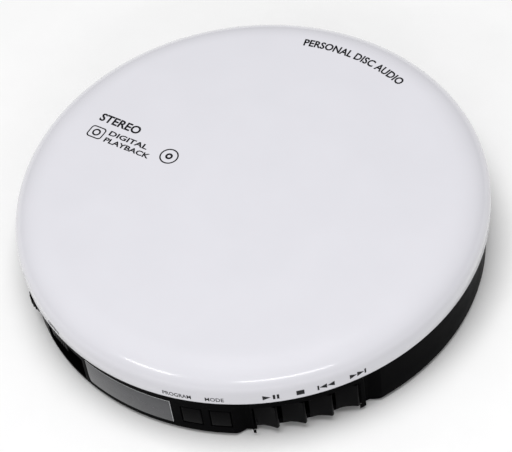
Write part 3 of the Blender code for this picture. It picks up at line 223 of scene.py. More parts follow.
def settle(made):
    """Turns an object's modifiers into its mesh and shades it smooth between sharp edges."""
    bpy.context.view_layer.update()
    fixed = bpy.data.meshes.new_from_object(made.evaluated_get(bpy.context.evaluated_depsgraph_get()))
    made.modifiers.clear()
    made.data = fixed
    shape = bmesh.new()
    shape.from_mesh(fixed)
    bmesh.ops.remove_doubles(shape, verts=shape.verts, dist=0.000001)
    bmesh.ops.recalc_face_normals(shape, faces=shape.faces)
    shape.to_mesh(fixed)
    shape.free()
    fixed.shade_smooth()
    fixed.set_sharp_from_angle(angle=sharp_angle)


def combine(target, operation, tools):
    """Joins or cuts a piece with others, which are used up."""
    for tool in tools:
        step = target.modifiers.new(tool.name, "BOOLEAN")
        step.operation = operation
        step.solver = "EXACT"
        step.object = tool
    materials = list(target.data.materials)
    settle(target)
    target.data.materials.clear()
    for material in materials:
        target.data.materials.append(material)
    for polygon in target.data.polygons:
        polygon.material_index = 0
    for tool in tools:
        bpy.data.objects.remove(tool)
    return target


def bar(name, start, end, radius, end_radius=None, steps=48, material=None):
    """A round bar or taper between two points."""
    axis = Vector(end) - Vector(start)
    mesh = bpy.data.meshes.new(name)
    shape = bmesh.new()
    bmesh.ops.create_cone(shape, cap_ends=True, segments=steps, radius1=radius,
                          radius2=radius if end_radius is None else end_radius, depth=axis.length)
    shape.to_mesh(mesh)
    shape.free()
    aim = axis.to_track_quat("Z", "Y").to_matrix().to_4x4()
    mesh.transform(Matrix.Translation(Vector(start) + axis / 2) @ aim)
    mesh.shade_smooth()
    mesh.set_sharp_from_angle(angle=sharp_angle)
    return scene_object(name, mesh, material)


def around(radius, azimuth, height=0.0):
    return Vector((radius * math.cos(azimuth), radius * math.sin(azimuth), height))


def lid_profile(wall, steps=14):
    """Points from the middle of the top down to the end of the shoulder, set in by a wall."""
    middle = lid_radius - shoulder_width
    drop = wall * top_to_wall
    crown = [(middle * i / crown_steps, lid_edge + lid_rise + lid_crown * (1 - (i / crown_steps) ** 2) - drop)
             for i in range(crown_steps)]
    bend = [math.pi / 2 * (1 - i / steps) for i in range(steps + 1)]
    return crown + [(middle + (shoulder_width - wall) * math.cos(a),
                     lid_edge + rim_height + (lid_rise - rim_height - drop) * math.sin(a)) for a in bend]


rim = [(lid_radius, lid_edge + rim_round), (lid_radius - 0.12 * mm, lid_edge + 0.1 * mm),
       (lid_radius - rim_round, lid_edge), (lid_radius - lid_wall, lid_edge)]
lid = lathe("lid", lid_profile(0.0) + rim + lid_profile(lid_wall, 8)[::-1], 192, gloss_white)
nub = around(nub_reach, nub_azimuth)
combine(lid, "UNION", [bar("lid_nub", (nub.x, nub.y, nub_low), (nub.x, nub.y, nub_high), nub_radius)])
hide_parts("lid_shell")
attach(lid, "lid")


# Printing on the lid
# Thin dark ink pads on the top and the rim: plain words and the usual transport signs over the keys.

ink_thickness, ink_lift = 0.012 * mm, 0.014 * mm
letter_size = 0.01
ink = moulded("print_ink", (0.012, 0.012, 0.014), 0.45, grain=3000.0, depth=0.02, wear=0.1, specular=0.1)


def flat_mesh(curve):
    """The mesh of a flat extruded curve, with its caps joined to its sides."""
    holder = scene_object("outline", curve)
    bpy.context.view_layer.update()
    mesh = bpy.data.meshes.new_from_object(holder.evaluated_get(bpy.context.evaluated_depsgraph_get()))
    bpy.data.objects.remove(holder)
    shape = bmesh.new()
    shape.from_mesh(mesh)
    bmesh.ops.remove_doubles(shape, verts=shape.verts, dist=0.0000002)
    shape.to_mesh(mesh)
    shape.free()
    return mesh


def word(text, length, height, weight=0.03):
    """A word as a thin flat mesh, centred, of a given length and height; weight thickens its strokes."""
    curve = bpy.data.curves.new(text, "FONT")
    curve.body = text
    curve.size = letter_size
    curve.extrude = ink_thickness / 2
    curve.resolution_u = 3
    curve.offset = weight * letter_size
    mesh = flat_mesh(curve)
    xs = [vertex.co.x for vertex in mesh.vertices]
    ys = [vertex.co.y for vertex in mesh.vertices]
    middle_x, middle_y = (min(xs) + max(xs)) / 2, (min(ys) + max(ys)) / 2
    scale_x, scale_y = length / (max(xs) - min(xs)), height / (max(ys) - min(ys))
    for vertex in mesh.vertices:
        vertex.co.x = (vertex.co.x - middle_x) * scale_x
        vertex.co.y = (vertex.co.y - middle_y) * scale_y
    return mesh


def sign(outlines):
    """Flat outlines as a thin mesh."""
    curve = bpy.data.curves.new("sign", "CURVE")
    curve.dimensions = "2D"
    curve.fill_mode = "BOTH"
    curve.extrude = ink_thickness / 2
    for outline in outlines:
        spline = curve.splines.new("POLY")
        spline.points.add(len(outline) - 1)
        for point, (x, y) in zip(spline.points, outline):
            point.co = (x, y, 0.0, 1.0)
        spline.use_cyclic_u = True
    return flat_mesh(curve)


def lid_height(radius):
    """Height of the lid's outer face at a distance from the disc axis."""
    middle = lid_radius - shoulder_width
    if radius <= middle:
        return lid_edge + lid_rise + lid_crown * (1 - (radius / middle) ** 2)
    reach = min(1.0, (radius - middle) / shoulder_width)
    return lid_edge + rim_height + (lid_rise - rim_height) * math.sqrt(1 - reach ** 2)


def print_on_top(name, mesh, centre):
    """Lays a flat mesh on the lid's top about a point."""
    for vertex in mesh.vertices:
        x, y = centre[0] + vertex.co.x, centre[1] + vertex.co.y
        vertex.co = (x, y, lid_height(math.hypot(x, y)) + (ink_lift + vertex.co.z))
    finish_print(name, mesh)


def print_on_arc(name, mesh, radius, azimuth):
    """Bends a flat mesh round the lid's top, letters upright towards the edge."""
    for vertex in mesh.vertices:
        reach = radius + vertex.co.y
        vertex.co = around(reach, azimuth - vertex.co.x / radius, lid_height(reach) + ink_lift + vertex.co.z)
    finish_print(name, mesh)


def print_on_rim(name, mesh, azimuth, height):
    """Bends a flat mesh round the lid's upright rim."""
    for vertex in mesh.vertices:
        vertex.co = around(lid_radius + ink_lift + vertex.co.z, azimuth + vertex.co.x / lid_radius,
                           lid_edge + height + vertex.co.y)
    finish_print(name, mesh)


def finish_print(name, mesh):
    shape = bmesh.new()
    shape.from_mesh(mesh)
    bmesh.ops.recalc_face_normals(shape, faces=shape.faces)
    shape.to_mesh(mesh)
    shape.free()
    made = scene_object(name, mesh, ink)
    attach(made, "lid")


def ring(radius, count=40):
    return [(radius * math.cos(math.tau * i / count), radius * math.sin(math.tau * i / count))
            for i in range(count)]


def rounded(width, height, corner):
    """A rectangle outline with round corners."""
    points, corner_steps = [], 5
    for sx, sy, start in ((1, 1, 0), (-1, 1, 90), (-1, -1, 180), (1, -1, 270)):
        for i in range(corner_steps + 1):
            angle = math.radians(start + 90 / corner_steps * i)
            points.append((sx * (width / 2 - corner) + corner * math.cos(angle),
                           sy * (height / 2 - corner) + corner * math.sin(angle)))
    return points


def triangle(left, width, height):
    """A triangle that points right for a positive width and left for a negative one."""
    return [(left, -height / 2), (left + width, 0.0), (left, height / 2)]


def block(left, width, height):
    return [(left, -height / 2), (left + width, -height / 2), (left + width, height / 2), (left, height / 2)]


description = word("PERSONAL DISC AUDIO", 35.5 * mm, 2.9 * mm)
print_on_arc("print_description", description, 57.6 * mm, math.radians(87))
print_on_top("print_stereo", word("STEREO", 14.2 * mm, 3.1 * mm), (-46.3 * mm, 2.2 * mm))
badge = [rounded(5.2 * mm, 4.6 * mm, 1.1 * mm), rounded(4.4 * mm, 3.8 * mm, 0.8 * mm), ring(1.35 * mm, 24),
         ring(0.8 * mm, 24)]
print_on_top("print_badge", sign(badge), (-51.0 * mm, -3.8 * mm))
print_on_top("print_digital", word("DIGITAL", 13.6 * mm, 1.9 * mm), (-40.4 * mm, -2.3 * mm))
print_on_top("print_playback", word("PLAYBACK", 16.0 * mm, 1.9 * mm), (-39.2 * mm, -5.1 * mm))
disc_sign = [ring(2.9 * mm), ring(2.45 * mm), ring(1.15 * mm, 24), ring(0.5 * mm, 24)]
print_on_top("print_disc_sign", sign(disc_sign), (-26.0 * mm, -2.3 * mm))

sign_height, sign_rise = 1.95 * mm, 2.6 * mm
label_weight, label_rise = 0.01, 2.1 * mm
for name, azimuth, outlines in (
        ("print_play_pause", -53.9, [triangle(-2.4 * mm, 2.2 * mm, sign_height),
                                     block(0.4 * mm, 0.65 * mm, sign_height),
                                     block(1.5 * mm, 0.65 * mm, sign_height)]),
        ("print_stop", -47.3, [block(-1.1 * mm, 2.2 * mm, sign_height)]),
        ("print_previous", -41.4, [block(-2.4 * mm, 0.5 * mm, sign_height),
                                   triangle(0.3 * mm, -2.1 * mm, sign_height),
                                   triangle(2.5 * mm, -2.1 * mm, sign_height)]),
        ("print_next", -33.6, [triangle(-2.5 * mm, 2.1 * mm, sign_height),
                               triangle(-0.3 * mm, 2.1 * mm, sign_height),
                               block(1.9 * mm, 0.5 * mm, sign_height)])):
    print_on_rim(name, sign(outlines), math.radians(azimuth), sign_rise)
for name, text, azimuth, length, height in (("print_program", "PROGRAM", -75.6, 8.2 * mm, 1.65 * mm),
                                            ("print_mode", "MODE", -66.8, 5.2 * mm, 1.65 * mm),
                                            ("print_open", "OPEN", -112.5, 5.4 * mm, 1.5 * mm),
                                            ("print_volume", "VOL", -131, 3.6 * mm, 1.4 * mm)):
    print_on_rim(name, word(text, length, height, label_weight), math.radians(azimuth), label_rise)


# Lower case
# One black moulding: a round cup with a filleted foot, a scooped stretch for the stepped keys and a recess
# for the lid release. Inside it has the battery bay's walls, hinge lugs, and posts for screws and dampers.

clearance = 0.3 * mm
overcut = 3 * mm
case_radius = (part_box("lower_case")[1][0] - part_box("lower_case")[0][0]) / 2
case_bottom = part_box("lower_case")[0][2]
case_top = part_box("lower_case")[1][2]
case_inner = case_radius - 1.8 * mm
case_floor = case_bottom + 1.6 * mm
seat_radius = case_radius - 3.6 * mm
hinge_y, hinge_z, hinge_x, arm_width, knuckle = 60.5 * mm, 9.5 * mm, 14.0 * mm, 5.0 * mm, 4.8 * mm
latch_azimuth = math.radians(-113.2)
recess_back = case_radius - 3.8 * mm
window_start, window_end = math.radians(-103.7), math.radians(-78.4)
window_low, window_high = 3.0 * mm, 13.5 * mm
key_azimuths = [math.radians(-55.9 + 6.6 * i) for i in range(4)]
small_key_azimuths = [math.radians(-73.6), math.radians(-66.6)]
key_width, key_height, key_middle = 6.6 * mm, 9.8 * mm, 8.4 * mm
small_key_width, small_key_height = 5.6 * mm, 7.0 * mm
dial_azimuth, dial_radius, dial_z = math.radians(-130), 8.0 * mm, 9.1 * mm
dial_centre = around(case_radius + 1.8 * mm - dial_radius, dial_azimuth, dial_z)
headphone_azimuth, power_azimuth, jack_z = math.radians(-150), math.radians(172), 9.2 * mm
screw_spots = [(40.0 * mm, 40.0 * mm), (-40.0 * mm, 40.0 * mm), (-27.0 * mm, -47.0 * mm),
               (33.0 * mm, -40.0 * mm)]
foot_spots = [around(56.0 * mm, math.radians(azimuth)) for azimuth in (35, 145, 218, 322)]
damper_spots = [(-20.0 * mm, -17.0 * mm), (-20.0 * mm, 17.0 * mm), (48.0 * mm, 16.7 * mm)]
bay_half, bay_front, bay_rear = 28.5 * mm, 22.8 * mm, 52.3 * mm
well_floor = 17.4 * mm
black_satin = moulded("black_satin", (0.0014, 0.0014, 0.0017), 0.36, grain=5000.0, depth=0.05, wear=0.12,
                      specular=0.008, edge=0.00018)


def slab(name, outlines, low, high, material=None):
    """A flat piece of the given outlines between two heights; inner outlines are holes."""
    curve = bpy.data.curves.new(name, "CURVE")
    curve.dimensions = "2D"
    curve.fill_mode = "BOTH"
    curve.extrude = (high - low) / 2
    for outline in outlines:
        spline = curve.splines.new("POLY")
        spline.points.add(len(outline) - 1)
        for point, (x, y) in zip(spline.points, outline):
            point.co = (x, y, 0.0, 1.0)
        spline.use_cyclic_u = True
    mesh = flat_mesh(curve)
    mesh.transform(Matrix.Translation((0.0, 0.0, (low + high) / 2)))
    shape = bmesh.new()
    shape.from_mesh(mesh)
    bmesh.ops.recalc_face_normals(shape, faces=shape.faces)
    shape.to_mesh(mesh)
    shape.free()
    return scene_object(name, mesh, material)


def bend(radius, start, end, count=40):
    """Points on an arc about the disc axis."""
    return [tuple(around(radius, start + (end - start) * i / (count - 1))[:2]) for i in range(count)]


def wall_piece(name, inner, outer, start, end, low, high, material=None, count=40):
    """A stretch of round wall about the disc axis."""
    return slab(name, [bend(outer, start, end, count) + bend(inner, end, start, count)], low, high, material)


def brick(name, azimuth, radial, across, height, material=None):
    """A box that faces out along an azimuth; each size is a (low, high) pair."""
    low, high = Vector((radial[0], across[0], height[0])), Vector((radial[1], across[1], height[1]))
    mesh = bpy.data.meshes.new(name)
    shape = bmesh.new()
    bmesh.ops.create_cube(shape, size=1.0)
    bmesh.ops.scale(shape, vec=high - low, verts=shape.verts)
    bmesh.ops.translate(shape, vec=(low + high) / 2, verts=shape.verts)
    bmesh.ops.rotate(shape, matrix=Matrix.Rotation(azimuth, 3, "Z"), verts=shape.verts)
    shape.to_mesh(mesh)
    shape.free()
    return scene_object(name, mesh, material)


def soften(piece, width, segments=3, angle=32):
    """Rounds a piece's sharp edges."""
    step = piece.modifiers.new("round_edges", "BEVEL")
    step.width = width
    step.segments = segments
    step.limit_method = "ANGLE"
    step.angle_limit = math.radians(angle)
    step.use_clamp_overlap = True
    materials = list(piece.data.materials)
    settle(piece)
    piece.data.materials.clear()
    for material in materials:
        piece.data.materials.append(material)
    return piece


def arm_openings(height):
    """Cutters that give the two lid arms room to swing back through the wall, from a height up.

    From the hinge's own height they also clear the knuckles."""
    made = []
    sweep = knuckle + 0.35 * mm
    outside, above = 75 * mm, 25 * mm
    for side in (-1, 1):
        span = (side * hinge_x - arm_width / 2 - clearance, side * hinge_x + arm_width / 2 + clearance)
        made.append(brick("arm_notch", 0.0, span, (hinge_y - 0.9 * mm, outside), (height, above)))
        if height <= hinge_z:
            made.append(brick("arm_swing", 0.0, span, (hinge_y + 0.1 * mm, outside),
                              (hinge_z - sweep, above)))
            made.append(bar("knuckle_room", (span[0], hinge_y, hinge_z), (span[1], hinge_y, hinge_z), sweep))
    return made


fillet = 1.2 * mm
inner_fillet, lip_round = 0.8 * mm, 0.2 * mm
wall_steps, fillet_steps = 4, 8
cup = [(0.0, case_floor), (case_inner - inner_fillet, case_floor), (case_inner, case_floor + inner_fillet),
       (case_inner, case_top), (case_radius - lip_round, case_top), (case_radius, case_top - lip_round)]
wall_length = case_top - 0.5 * mm - case_bottom - fillet
wall_points = [(case_radius, case_bottom + fillet + wall_length * (1 - i / wall_steps))
               for i in range(1, wall_steps)]
foot_points = [(case_radius - fillet * (1 - math.cos(math.pi / 2 * i / fillet_steps)),
                case_bottom + fillet * (1 - math.sin(math.pi / 2 * i / fillet_steps)))
               for i in range(fillet_steps + 1)]
underside = [(45 * mm, case_bottom), (20 * mm, case_bottom), (0.0, case_bottom)]
case_profile = cup + wall_points + foot_points + underside
case = lathe("case", case_profile, 180, black_satin)
inside = case_floor - 0.4 * mm
bay_wall = 1.2 * mm
lug_half, lug_gap = 1.05 * mm, 0.4 * mm
bay_outside = [(-bay_half - bay_wall, bay_front - bay_wall), (bay_half + bay_wall, bay_front - bay_wall),
               (bay_half + bay_wall, bay_rear + bay_wall), (-bay_half - bay_wall, bay_rear + bay_wall)]
bay_inside = [(-bay_half, bay_front), (bay_half, bay_front), (bay_half, bay_rear), (-bay_half, bay_rear)]
seats = [wall_piece("key_seat", seat_radius, case_inner + 0.6 * mm, window_end + math.radians(1.6),
                    math.radians(-24), inside, case_top - 1.6 * mm),
         brick("latch_seat", latch_azimuth, (recess_back - 1.4 * mm, case_inner), (-11.3 * mm, 11.3 * mm),
               (inside, 13.3 * mm)),
         slab("bay_walls", [bay_outside, bay_inside], inside, 16.9 * mm)]
for side in (-1, 1):
    for offset in (-1, 1):
        middle = side * hinge_x + offset * (arm_width / 2 + lug_gap + lug_half)
        seats.append(brick("hinge_lug", 0.0, (middle - lug_half, middle + lug_half), (57.9 * mm, 63.1 * mm),
                           (inside, 12.3 * mm)))
seats += [bar("screw_post", (x, y, inside), (x, y, 13.2 * mm), 2.6 * mm) for x, y in screw_spots]
seats += [bar("damper_post", (x, y, inside), (x, y, 9.8 * mm), 2.2 * mm) for x, y in damper_spots]
combine(case, "UNION", seats)

scoop_radius = case_radius - 2.0 * mm
scoop_start, scoop_end, ramp = math.radians(-61.2), math.radians(-30.0), math.radians(3.0)
scoop = bend(scoop_radius, scoop_start, scoop_end, 48)
scoop += [tuple(around(case_radius + overcut, scoop_end + 2 * ramp)[:2]),
          tuple(around(case_radius + overcut, scoop_start - 2 * ramp)[:2])]
key_side = (key_width / 2 + clearance) / seat_radius
toe_radius = case_radius - 3.2 * mm
key_half_turn = key_width / 2 / case_radius
toe_start, toe_end = key_azimuths[0] - key_half_turn, key_azimuths[3] + key_half_turn
half_slot = Vector((0, 0, 1.59 * mm))
openings = [slab("scoop", [scoop], -overcut, case_top - 1.5 * mm),
            wall_piece("key_toe", toe_radius, case_radius + overcut, toe_start, toe_end, -overcut,
                       key_middle - key_height / 2),
            wall_piece("key_slot", seat_radius - overcut, case_radius + overcut, key_azimuths[0] - key_side,
                       key_azimuths[3] + key_side, key_middle - key_height / 2 - clearance,
                       key_middle + key_height / 2 + clearance),
            wall_piece("window_opening", case_inner - overcut, case_radius + overcut, window_start,
                       window_end, window_low, window_high),
            brick("recess", latch_azimuth, (recess_back, case_radius + overcut), (-9.8 * mm, 9.8 * mm),
                  (2.8 * mm, 11.8 * mm)),
            brick("stem_slot", latch_azimuth, (recess_back - overcut, recess_back + overcut),
                  (-7.4 * mm, 2.5 * mm), (6.0 * mm, 8.6 * mm)),
            bar("dial_slot", dial_centre - half_slot, dial_centre + half_slot, dial_radius + 0.39 * mm,
                steps=64)]
for azimuth in small_key_azimuths:
    openings.append(brick("small_key_opening", azimuth, (seat_radius - overcut, case_radius + overcut),
                          (-small_key_width / 2 - clearance, small_key_width / 2 + clearance),
                          (key_middle - small_key_height / 2 - clearance,
                           key_middle + small_key_height / 2 + clearance)))
for azimuth, radius in ((headphone_azimuth, 3.3 * mm), (power_azimuth, 3.7 * mm)):
    openings.append(bar("jack_hole", around(case_inner - overcut, azimuth, jack_z),
                        around(case_radius + overcut, azimuth, jack_z), radius))
openings += arm_openings(hinge_z)
for side in (-1, 1):
    openings.append(bar("pin_hole", (side * hinge_x - 8 * mm, hinge_y, hinge_z),
                        (side * hinge_x + 8 * mm, hinge_y, hinge_z), 1.8 * mm))
    openings.append(brick("hook_notch", 0.0, tuple(sorted((side * 27.5 * mm, side * 28.4 * mm))),
                          (31.25 * mm, 35.85 * mm), (-overcut, 3.4 * mm)))
openings.append(brick("door_hole", 0.0, (-27.7 * mm, 27.7 * mm), (19.0 * mm, 52.2 * mm),
                      (-overcut, case_floor + 0.05 * mm)))
for x, y in screw_spots:
    openings.append(bar("screw_hole", (x, y, -overcut), (x, y, case_top), 1.2 * mm))
    openings.append(bar("head_sink", (x, y, -overcut), (x, y, case_bottom + 2.0 * mm), 2.3 * mm))
for spot in foot_spots:
    openings.append(bar("foot_sink", (spot.x, spot.y, -overcut), (spot.x, spot.y, case_bottom + 0.4 * mm),
                        4.3 * mm))
combine(case, "DIFFERENCE", openings)
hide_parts("lower_case")
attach(case, "case")


# Feet and case screws
# Four round rubber pads in shallow sinks, and four cross-head screws that hold the two halves of the case.

rubber = moulded("black_rubber", (0.018, 0.018, 0.018), 0.8, grain=4000.0, depth=0.25, wear=0.25,
                 specular=0.3)


def metal(name, colour, roughness, grain=900.0, depth=0.05, stretch=(1.0, 1.0, 12.0)):
    """Bare or plated metal with fine drawn lines and slight staining."""
    material, tree, shader = shader_of(name)
    shader.inputs["Metallic"].default_value = 1.0
    coordinates = tree.nodes.new("ShaderNodeTexCoord")
    mapping = tree.nodes.new("ShaderNodeMapping")
    mapping.inputs["Scale"].default_value = stretch
    tree.links.new(coordinates.outputs["Object"], mapping.inputs["Vector"])
    lines = tree.nodes.new("ShaderNodeTexNoise")
    lines.inputs["Scale"].default_value = grain
    lines.inputs["Detail"].default_value = 3.0
    tree.links.new(mapping.outputs["Vector"], lines.inputs["Vector"])
    tree.links.new(spread(tree, lines, roughness * 0.75, roughness * 1.3), shader.inputs["Roughness"])
    stain = noise_in(tree, 150.0, 4.0)
    tint = tree.nodes.new("ShaderNodeMix")
    tint.data_type = "RGBA"
    tint.inputs["A"].default_value = (*[channel * 0.82 for channel in colour], 1.0)
    tint.inputs["B"].default_value = (*colour, 1.0)
    tree.links.new(spread(tree, stain, 0.0, 1.0), tint.inputs["Factor"])
    tree.links.new(tint.outputs["Result"], shader.inputs["Base Color"])
    bump = tree.nodes.new("ShaderNodeBump")
    bump.inputs["Strength"].default_value = depth
    bump.inputs["Distance"].default_value = 0.0001
    tree.links.new(lines.outputs["Fac"], bump.inputs["Height"])
    tree.links.new(bump.outputs["Normal"], shader.inputs["Normal"])
    return material


steel = metal("steel", (0.56, 0.56, 0.58), 0.28)
pad_top, pad_hollow = case_bottom + 0.1 * mm, 0.12 * mm
for i, spot in enumerate(foot_spots):
    pad = lathe(f"foot_pad_{i + 1}", [(0.0, pad_top), (3.9 * mm, pad_top), (4.0 * mm, pad_top - 0.1 * mm),
                                      (4.0 * mm, 0.35 * mm), (3.9 * mm, pad_hollow), (3.7 * mm, 0.0),
                                      (2.6 * mm, 0.0), (2.45 * mm, pad_hollow), (0.0, pad_hollow)],
                48, rubber, (spot.x, spot.y))
    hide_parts(f"foot_{i + 1}")
    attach(pad, "case")
head, shank, tip = case_bottom + 0.6 * mm, 0.9 * mm, 16.0 * mm
thread_root, thread_turns, thread_pitch = shank * 0.72, 9, 1.3 * mm
for i, (x, y) in enumerate(screw_spots):
    profile = [(0.0, tip), (0.5 * mm, tip)]
    for j in range(thread_turns):
        z = 15.6 * mm - j * thread_pitch
        profile += [(shank, z), (thread_root, z - 0.45 * mm), (thread_root, z - 0.85 * mm)]
    profile += [(shank, head + 1.1 * mm), (2.0 * mm, head + 1.1 * mm), (2.0 * mm, head + 0.5 * mm),
                (1.7 * mm, head + 0.12 * mm), (1.2 * mm, head), (0.0, head)]
    screw = lathe(f"screw_{i + 1}", profile, 32, steel, (x, y))
    cross = [brick("cross", math.radians(30 * i + turn), (-1.15 * mm, 1.15 * mm), (-0.26 * mm, 0.26 * mm),
                   (head - 1 * mm, head + 0.8 * mm)) for turn in (0, 90)]
    for cutter in cross:
        cutter.data.transform(Matrix.Translation((x, y, 0.0)))
    combine(screw, "DIFFERENCE", cross)
    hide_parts(f"case_screw_{i + 1}")
    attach(screw, "case")


# Battery door
# A black plate that slides in the floor of the case, with two hooks inside and raised grip bars outside.

door_low, door_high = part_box("battery_door")
door_top = case_bottom + 1.3 * mm
door = brick("door", 0.0, (door_low[0] + 0.8 * mm, door_high[0] - 0.8 * mm), (door_low[1], door_high[1]),
             (case_bottom, door_top), black_satin)
soften(door, 0.3 * mm)
bars, grip_count, grip_pitch = [], 5, 1.6 * mm
for i in range(grip_count):
    half, shift = 7.0 * mm - 0.4 * mm * i, i * grip_pitch
    bars.append(soften(brick("grip_bar", 0.0, (-half, half), (26.5 * mm + shift, 27.3 * mm + shift),
                             (case_bottom - 0.3 * mm, case_bottom + 0.4 * mm)), 0.2 * mm, 2))
arrow = [(-2.2 * mm, 38.5 * mm), (0.0, 36.0 * mm), (2.2 * mm, 38.5 * mm)]
bars.append(slab("door_arrow", [arrow], case_bottom - 0.2 * mm, case_bottom + 0.4 * mm))
hook_span, hook_top = (35.55 * mm, 39.55 * mm), 3.4 * mm
for side in (-1, 1):
    stem = tuple(sorted((side * 26.5 * mm, side * 27.4 * mm)))
    lip = tuple(sorted((side * 26.8 * mm, side * 28.2 * mm)))
    bars.append(brick("hook_stem", 0.0, stem, hook_span, (case_bottom + 0.6 * mm, hook_top)))
    bars.append(brick("hook_lip", 0.0, lip, hook_span, (2.7 * mm, hook_top)))
combine(door, "UNION", bars)
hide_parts("battery_door")
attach(door, "battery_door")


# Edge keys
# Four stepped black keys side by side in the scooped wall, and two small flush ones beside the display. Each
# is a gloss moulding with a flange behind the wall, sprung by a switch dome.

key_black = moulded("key_black", (0.0012, 0.0012, 0.0015), 0.20, grain=5000.0, depth=0.03, wear=0.12,
                    specular=0.02)
key_flange = 1.2 * mm
key_lip = 0.9 * mm
key_back = seat_radius - clearance - key_flange
key_names = ("play_pause_button", "stop_button", "previous_button", "next_button")


def flange_of(azimuth, width, height):
    return brick("flange", azimuth, (key_back - 0.1 * mm, key_back + key_flange),
                 (0.2 * mm - width / 2, width / 2 - 0.2 * mm),
                 (key_middle - height / 2 - key_lip, key_middle + height / 2 + key_lip))


def stepped_key(name, azimuth):
    """A key whose face rises towards one end, with a thumb hollow and a rounded nose."""
    half, low_face, high_face = key_width / 2, scoop_radius + 0.5 * mm, scoop_radius + 2.2 * mm
    thumb_steps, thumb_depth = 8, 0.12 * mm
    hollow = [(low_face + (high_face - low_face) * (i / thumb_steps) ** 1.5
               - thumb_depth * math.sin(math.pi * i / thumb_steps),
               -half + 0.25 * mm + (key_width - 1.0 * mm) * i / thumb_steps) for i in range(thumb_steps + 1)]
    nose = [(high_face - 0.02 * mm, half - 0.55 * mm), (high_face - 0.25 * mm, half - 0.2 * mm),
            (high_face - 0.7 * mm, half)]
    outline = [(key_back, -half), (low_face - 0.25 * mm, -half), (low_face - 0.05 * mm, -half + 0.1 * mm)]
    outline += hollow[1:] + nose + [(key_back, half)]
    body = slab(name, [outline], key_middle - key_height / 2, key_middle + key_height / 2, key_black)
    body.data.transform(Matrix.Rotation(azimuth, 4, "Z"))
    soften(body, 0.28 * mm, 3, 50)
    combine(body, "UNION", [flange_of(azimuth, key_width, key_height)])
    return body


def flush_key(name, azimuth):
    """A small key that stands level with the wall, its face curved with it."""
    half = small_key_width / 2
    turn = half / case_radius
    face = [(x * math.cos(-azimuth) - y * math.sin(-azimuth), x * math.sin(-azimuth) + y * math.cos(-azimuth))
            for x, y in bend(case_radius - 0.02 * mm, azimuth - turn, azimuth + turn, 13)]
    outline = [(key_back, -half)] + face + [(key_back, half)]
    body = slab(name, [outline], key_middle - small_key_height / 2, key_middle + small_key_height / 2,
                key_black)
    body.data.transform(Matrix.Rotation(azimuth, 4, "Z"))
    soften(body, 0.22 * mm, 3, 50)
    combine(body, "UNION", [flange_of(azimuth, small_key_width, small_key_height)])
    return body


keys = {node: stepped_key(node.replace("button", "key"), azimuth)
        for node, azimuth in zip(key_names, key_azimuths)}
keys.update({node: flush_key(node.replace("button", "key"), azimuth)
             for node, azimuth in zip(("program_button", "mode_button"), small_key_azimuths)})
for node, key in keys.items():
    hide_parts(node)
    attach(key, node)


# Display window and its panel
# A smoked pane clipped in the front wall, with a highlight painted as a light grey strip along its top edge
# and right end. Behind it stands a grey glass panel.

pane_turn = clearance / case_radius
pane_start, pane_end = window_start + pane_turn, window_end - pane_turn
pane_low, pane_high = window_low + clearance, window_high - clearance
pane_back = case_inner - 1.3 * mm
smoked = moulded("smoked_pane", (0.040, 0.041, 0.046), 0.10, grain=400.0, depth=0.004, wear=0.05,
                 specular=0.35, coat=0.2)
pane = wall_piece("pane", case_inner - 0.8 * mm, case_radius - 0.03 * mm, pane_start, pane_end, pane_low,
                  pane_high, smoked)
soften(pane, 0.35 * mm, 3, 50)
combine(pane, "UNION", [wall_piece("pane_lip", pane_back, case_inner - clearance, pane_start, pane_end,
                                   pane_low, window_high + 1.4 * mm)])
# Painted highlight: a light grey strip on the pane's top edge and right end stands in for the light its edge
# catches.
painted_edge_highlight = moulded("painted_pane_highlight", (0.46, 0.47, 0.48), 0.15, grain=900.0, depth=0.01, wear=0.08)
edge_inner, edge_outer, edge_width = case_radius - 0.3 * mm, case_radius - 0.01 * mm, 0.16 * mm
edges = wall_piece("pane_highlight_strip", edge_inner, edge_outer, pane_start, pane_end, pane_high - edge_width,
                   pane_high, painted_edge_highlight)
combine(edges, "UNION", [wall_piece("pane_end_highlight_strip", edge_inner, edge_outer,
                                    pane_end - edge_width / case_radius, pane_end, pane_low, pane_high,
                                    count=3)])
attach(edges, "case")
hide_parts("display_window")
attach(pane, "case")

lcd_low, lcd_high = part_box("lcd_panel")
lcd_middle = (window_start + window_end) / 2
lcd_half = 13.5 * mm
lcd_face = math.sqrt(pane_back ** 2 - lcd_half ** 2) - clearance
lcd_glass = moulded("lcd_glass", (0.30, 0.33, 0.28), 0.18, grain=900.0, depth=0.01, wear=0.06)
panel = brick("lcd", lcd_middle, (lcd_face - 2.0 * mm, lcd_face), (-lcd_half, lcd_half),
              (lcd_low[2], lcd_high[2]), lcd_glass)
soften(panel, 0.25 * mm, 2)
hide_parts("lcd_panel")
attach(panel, "case")


# Lid release slider
# A ribbed black knob in the recess left of the display. Its stem passes a slot to a plate inside the wall,
# whose claw holds the lid's catch.

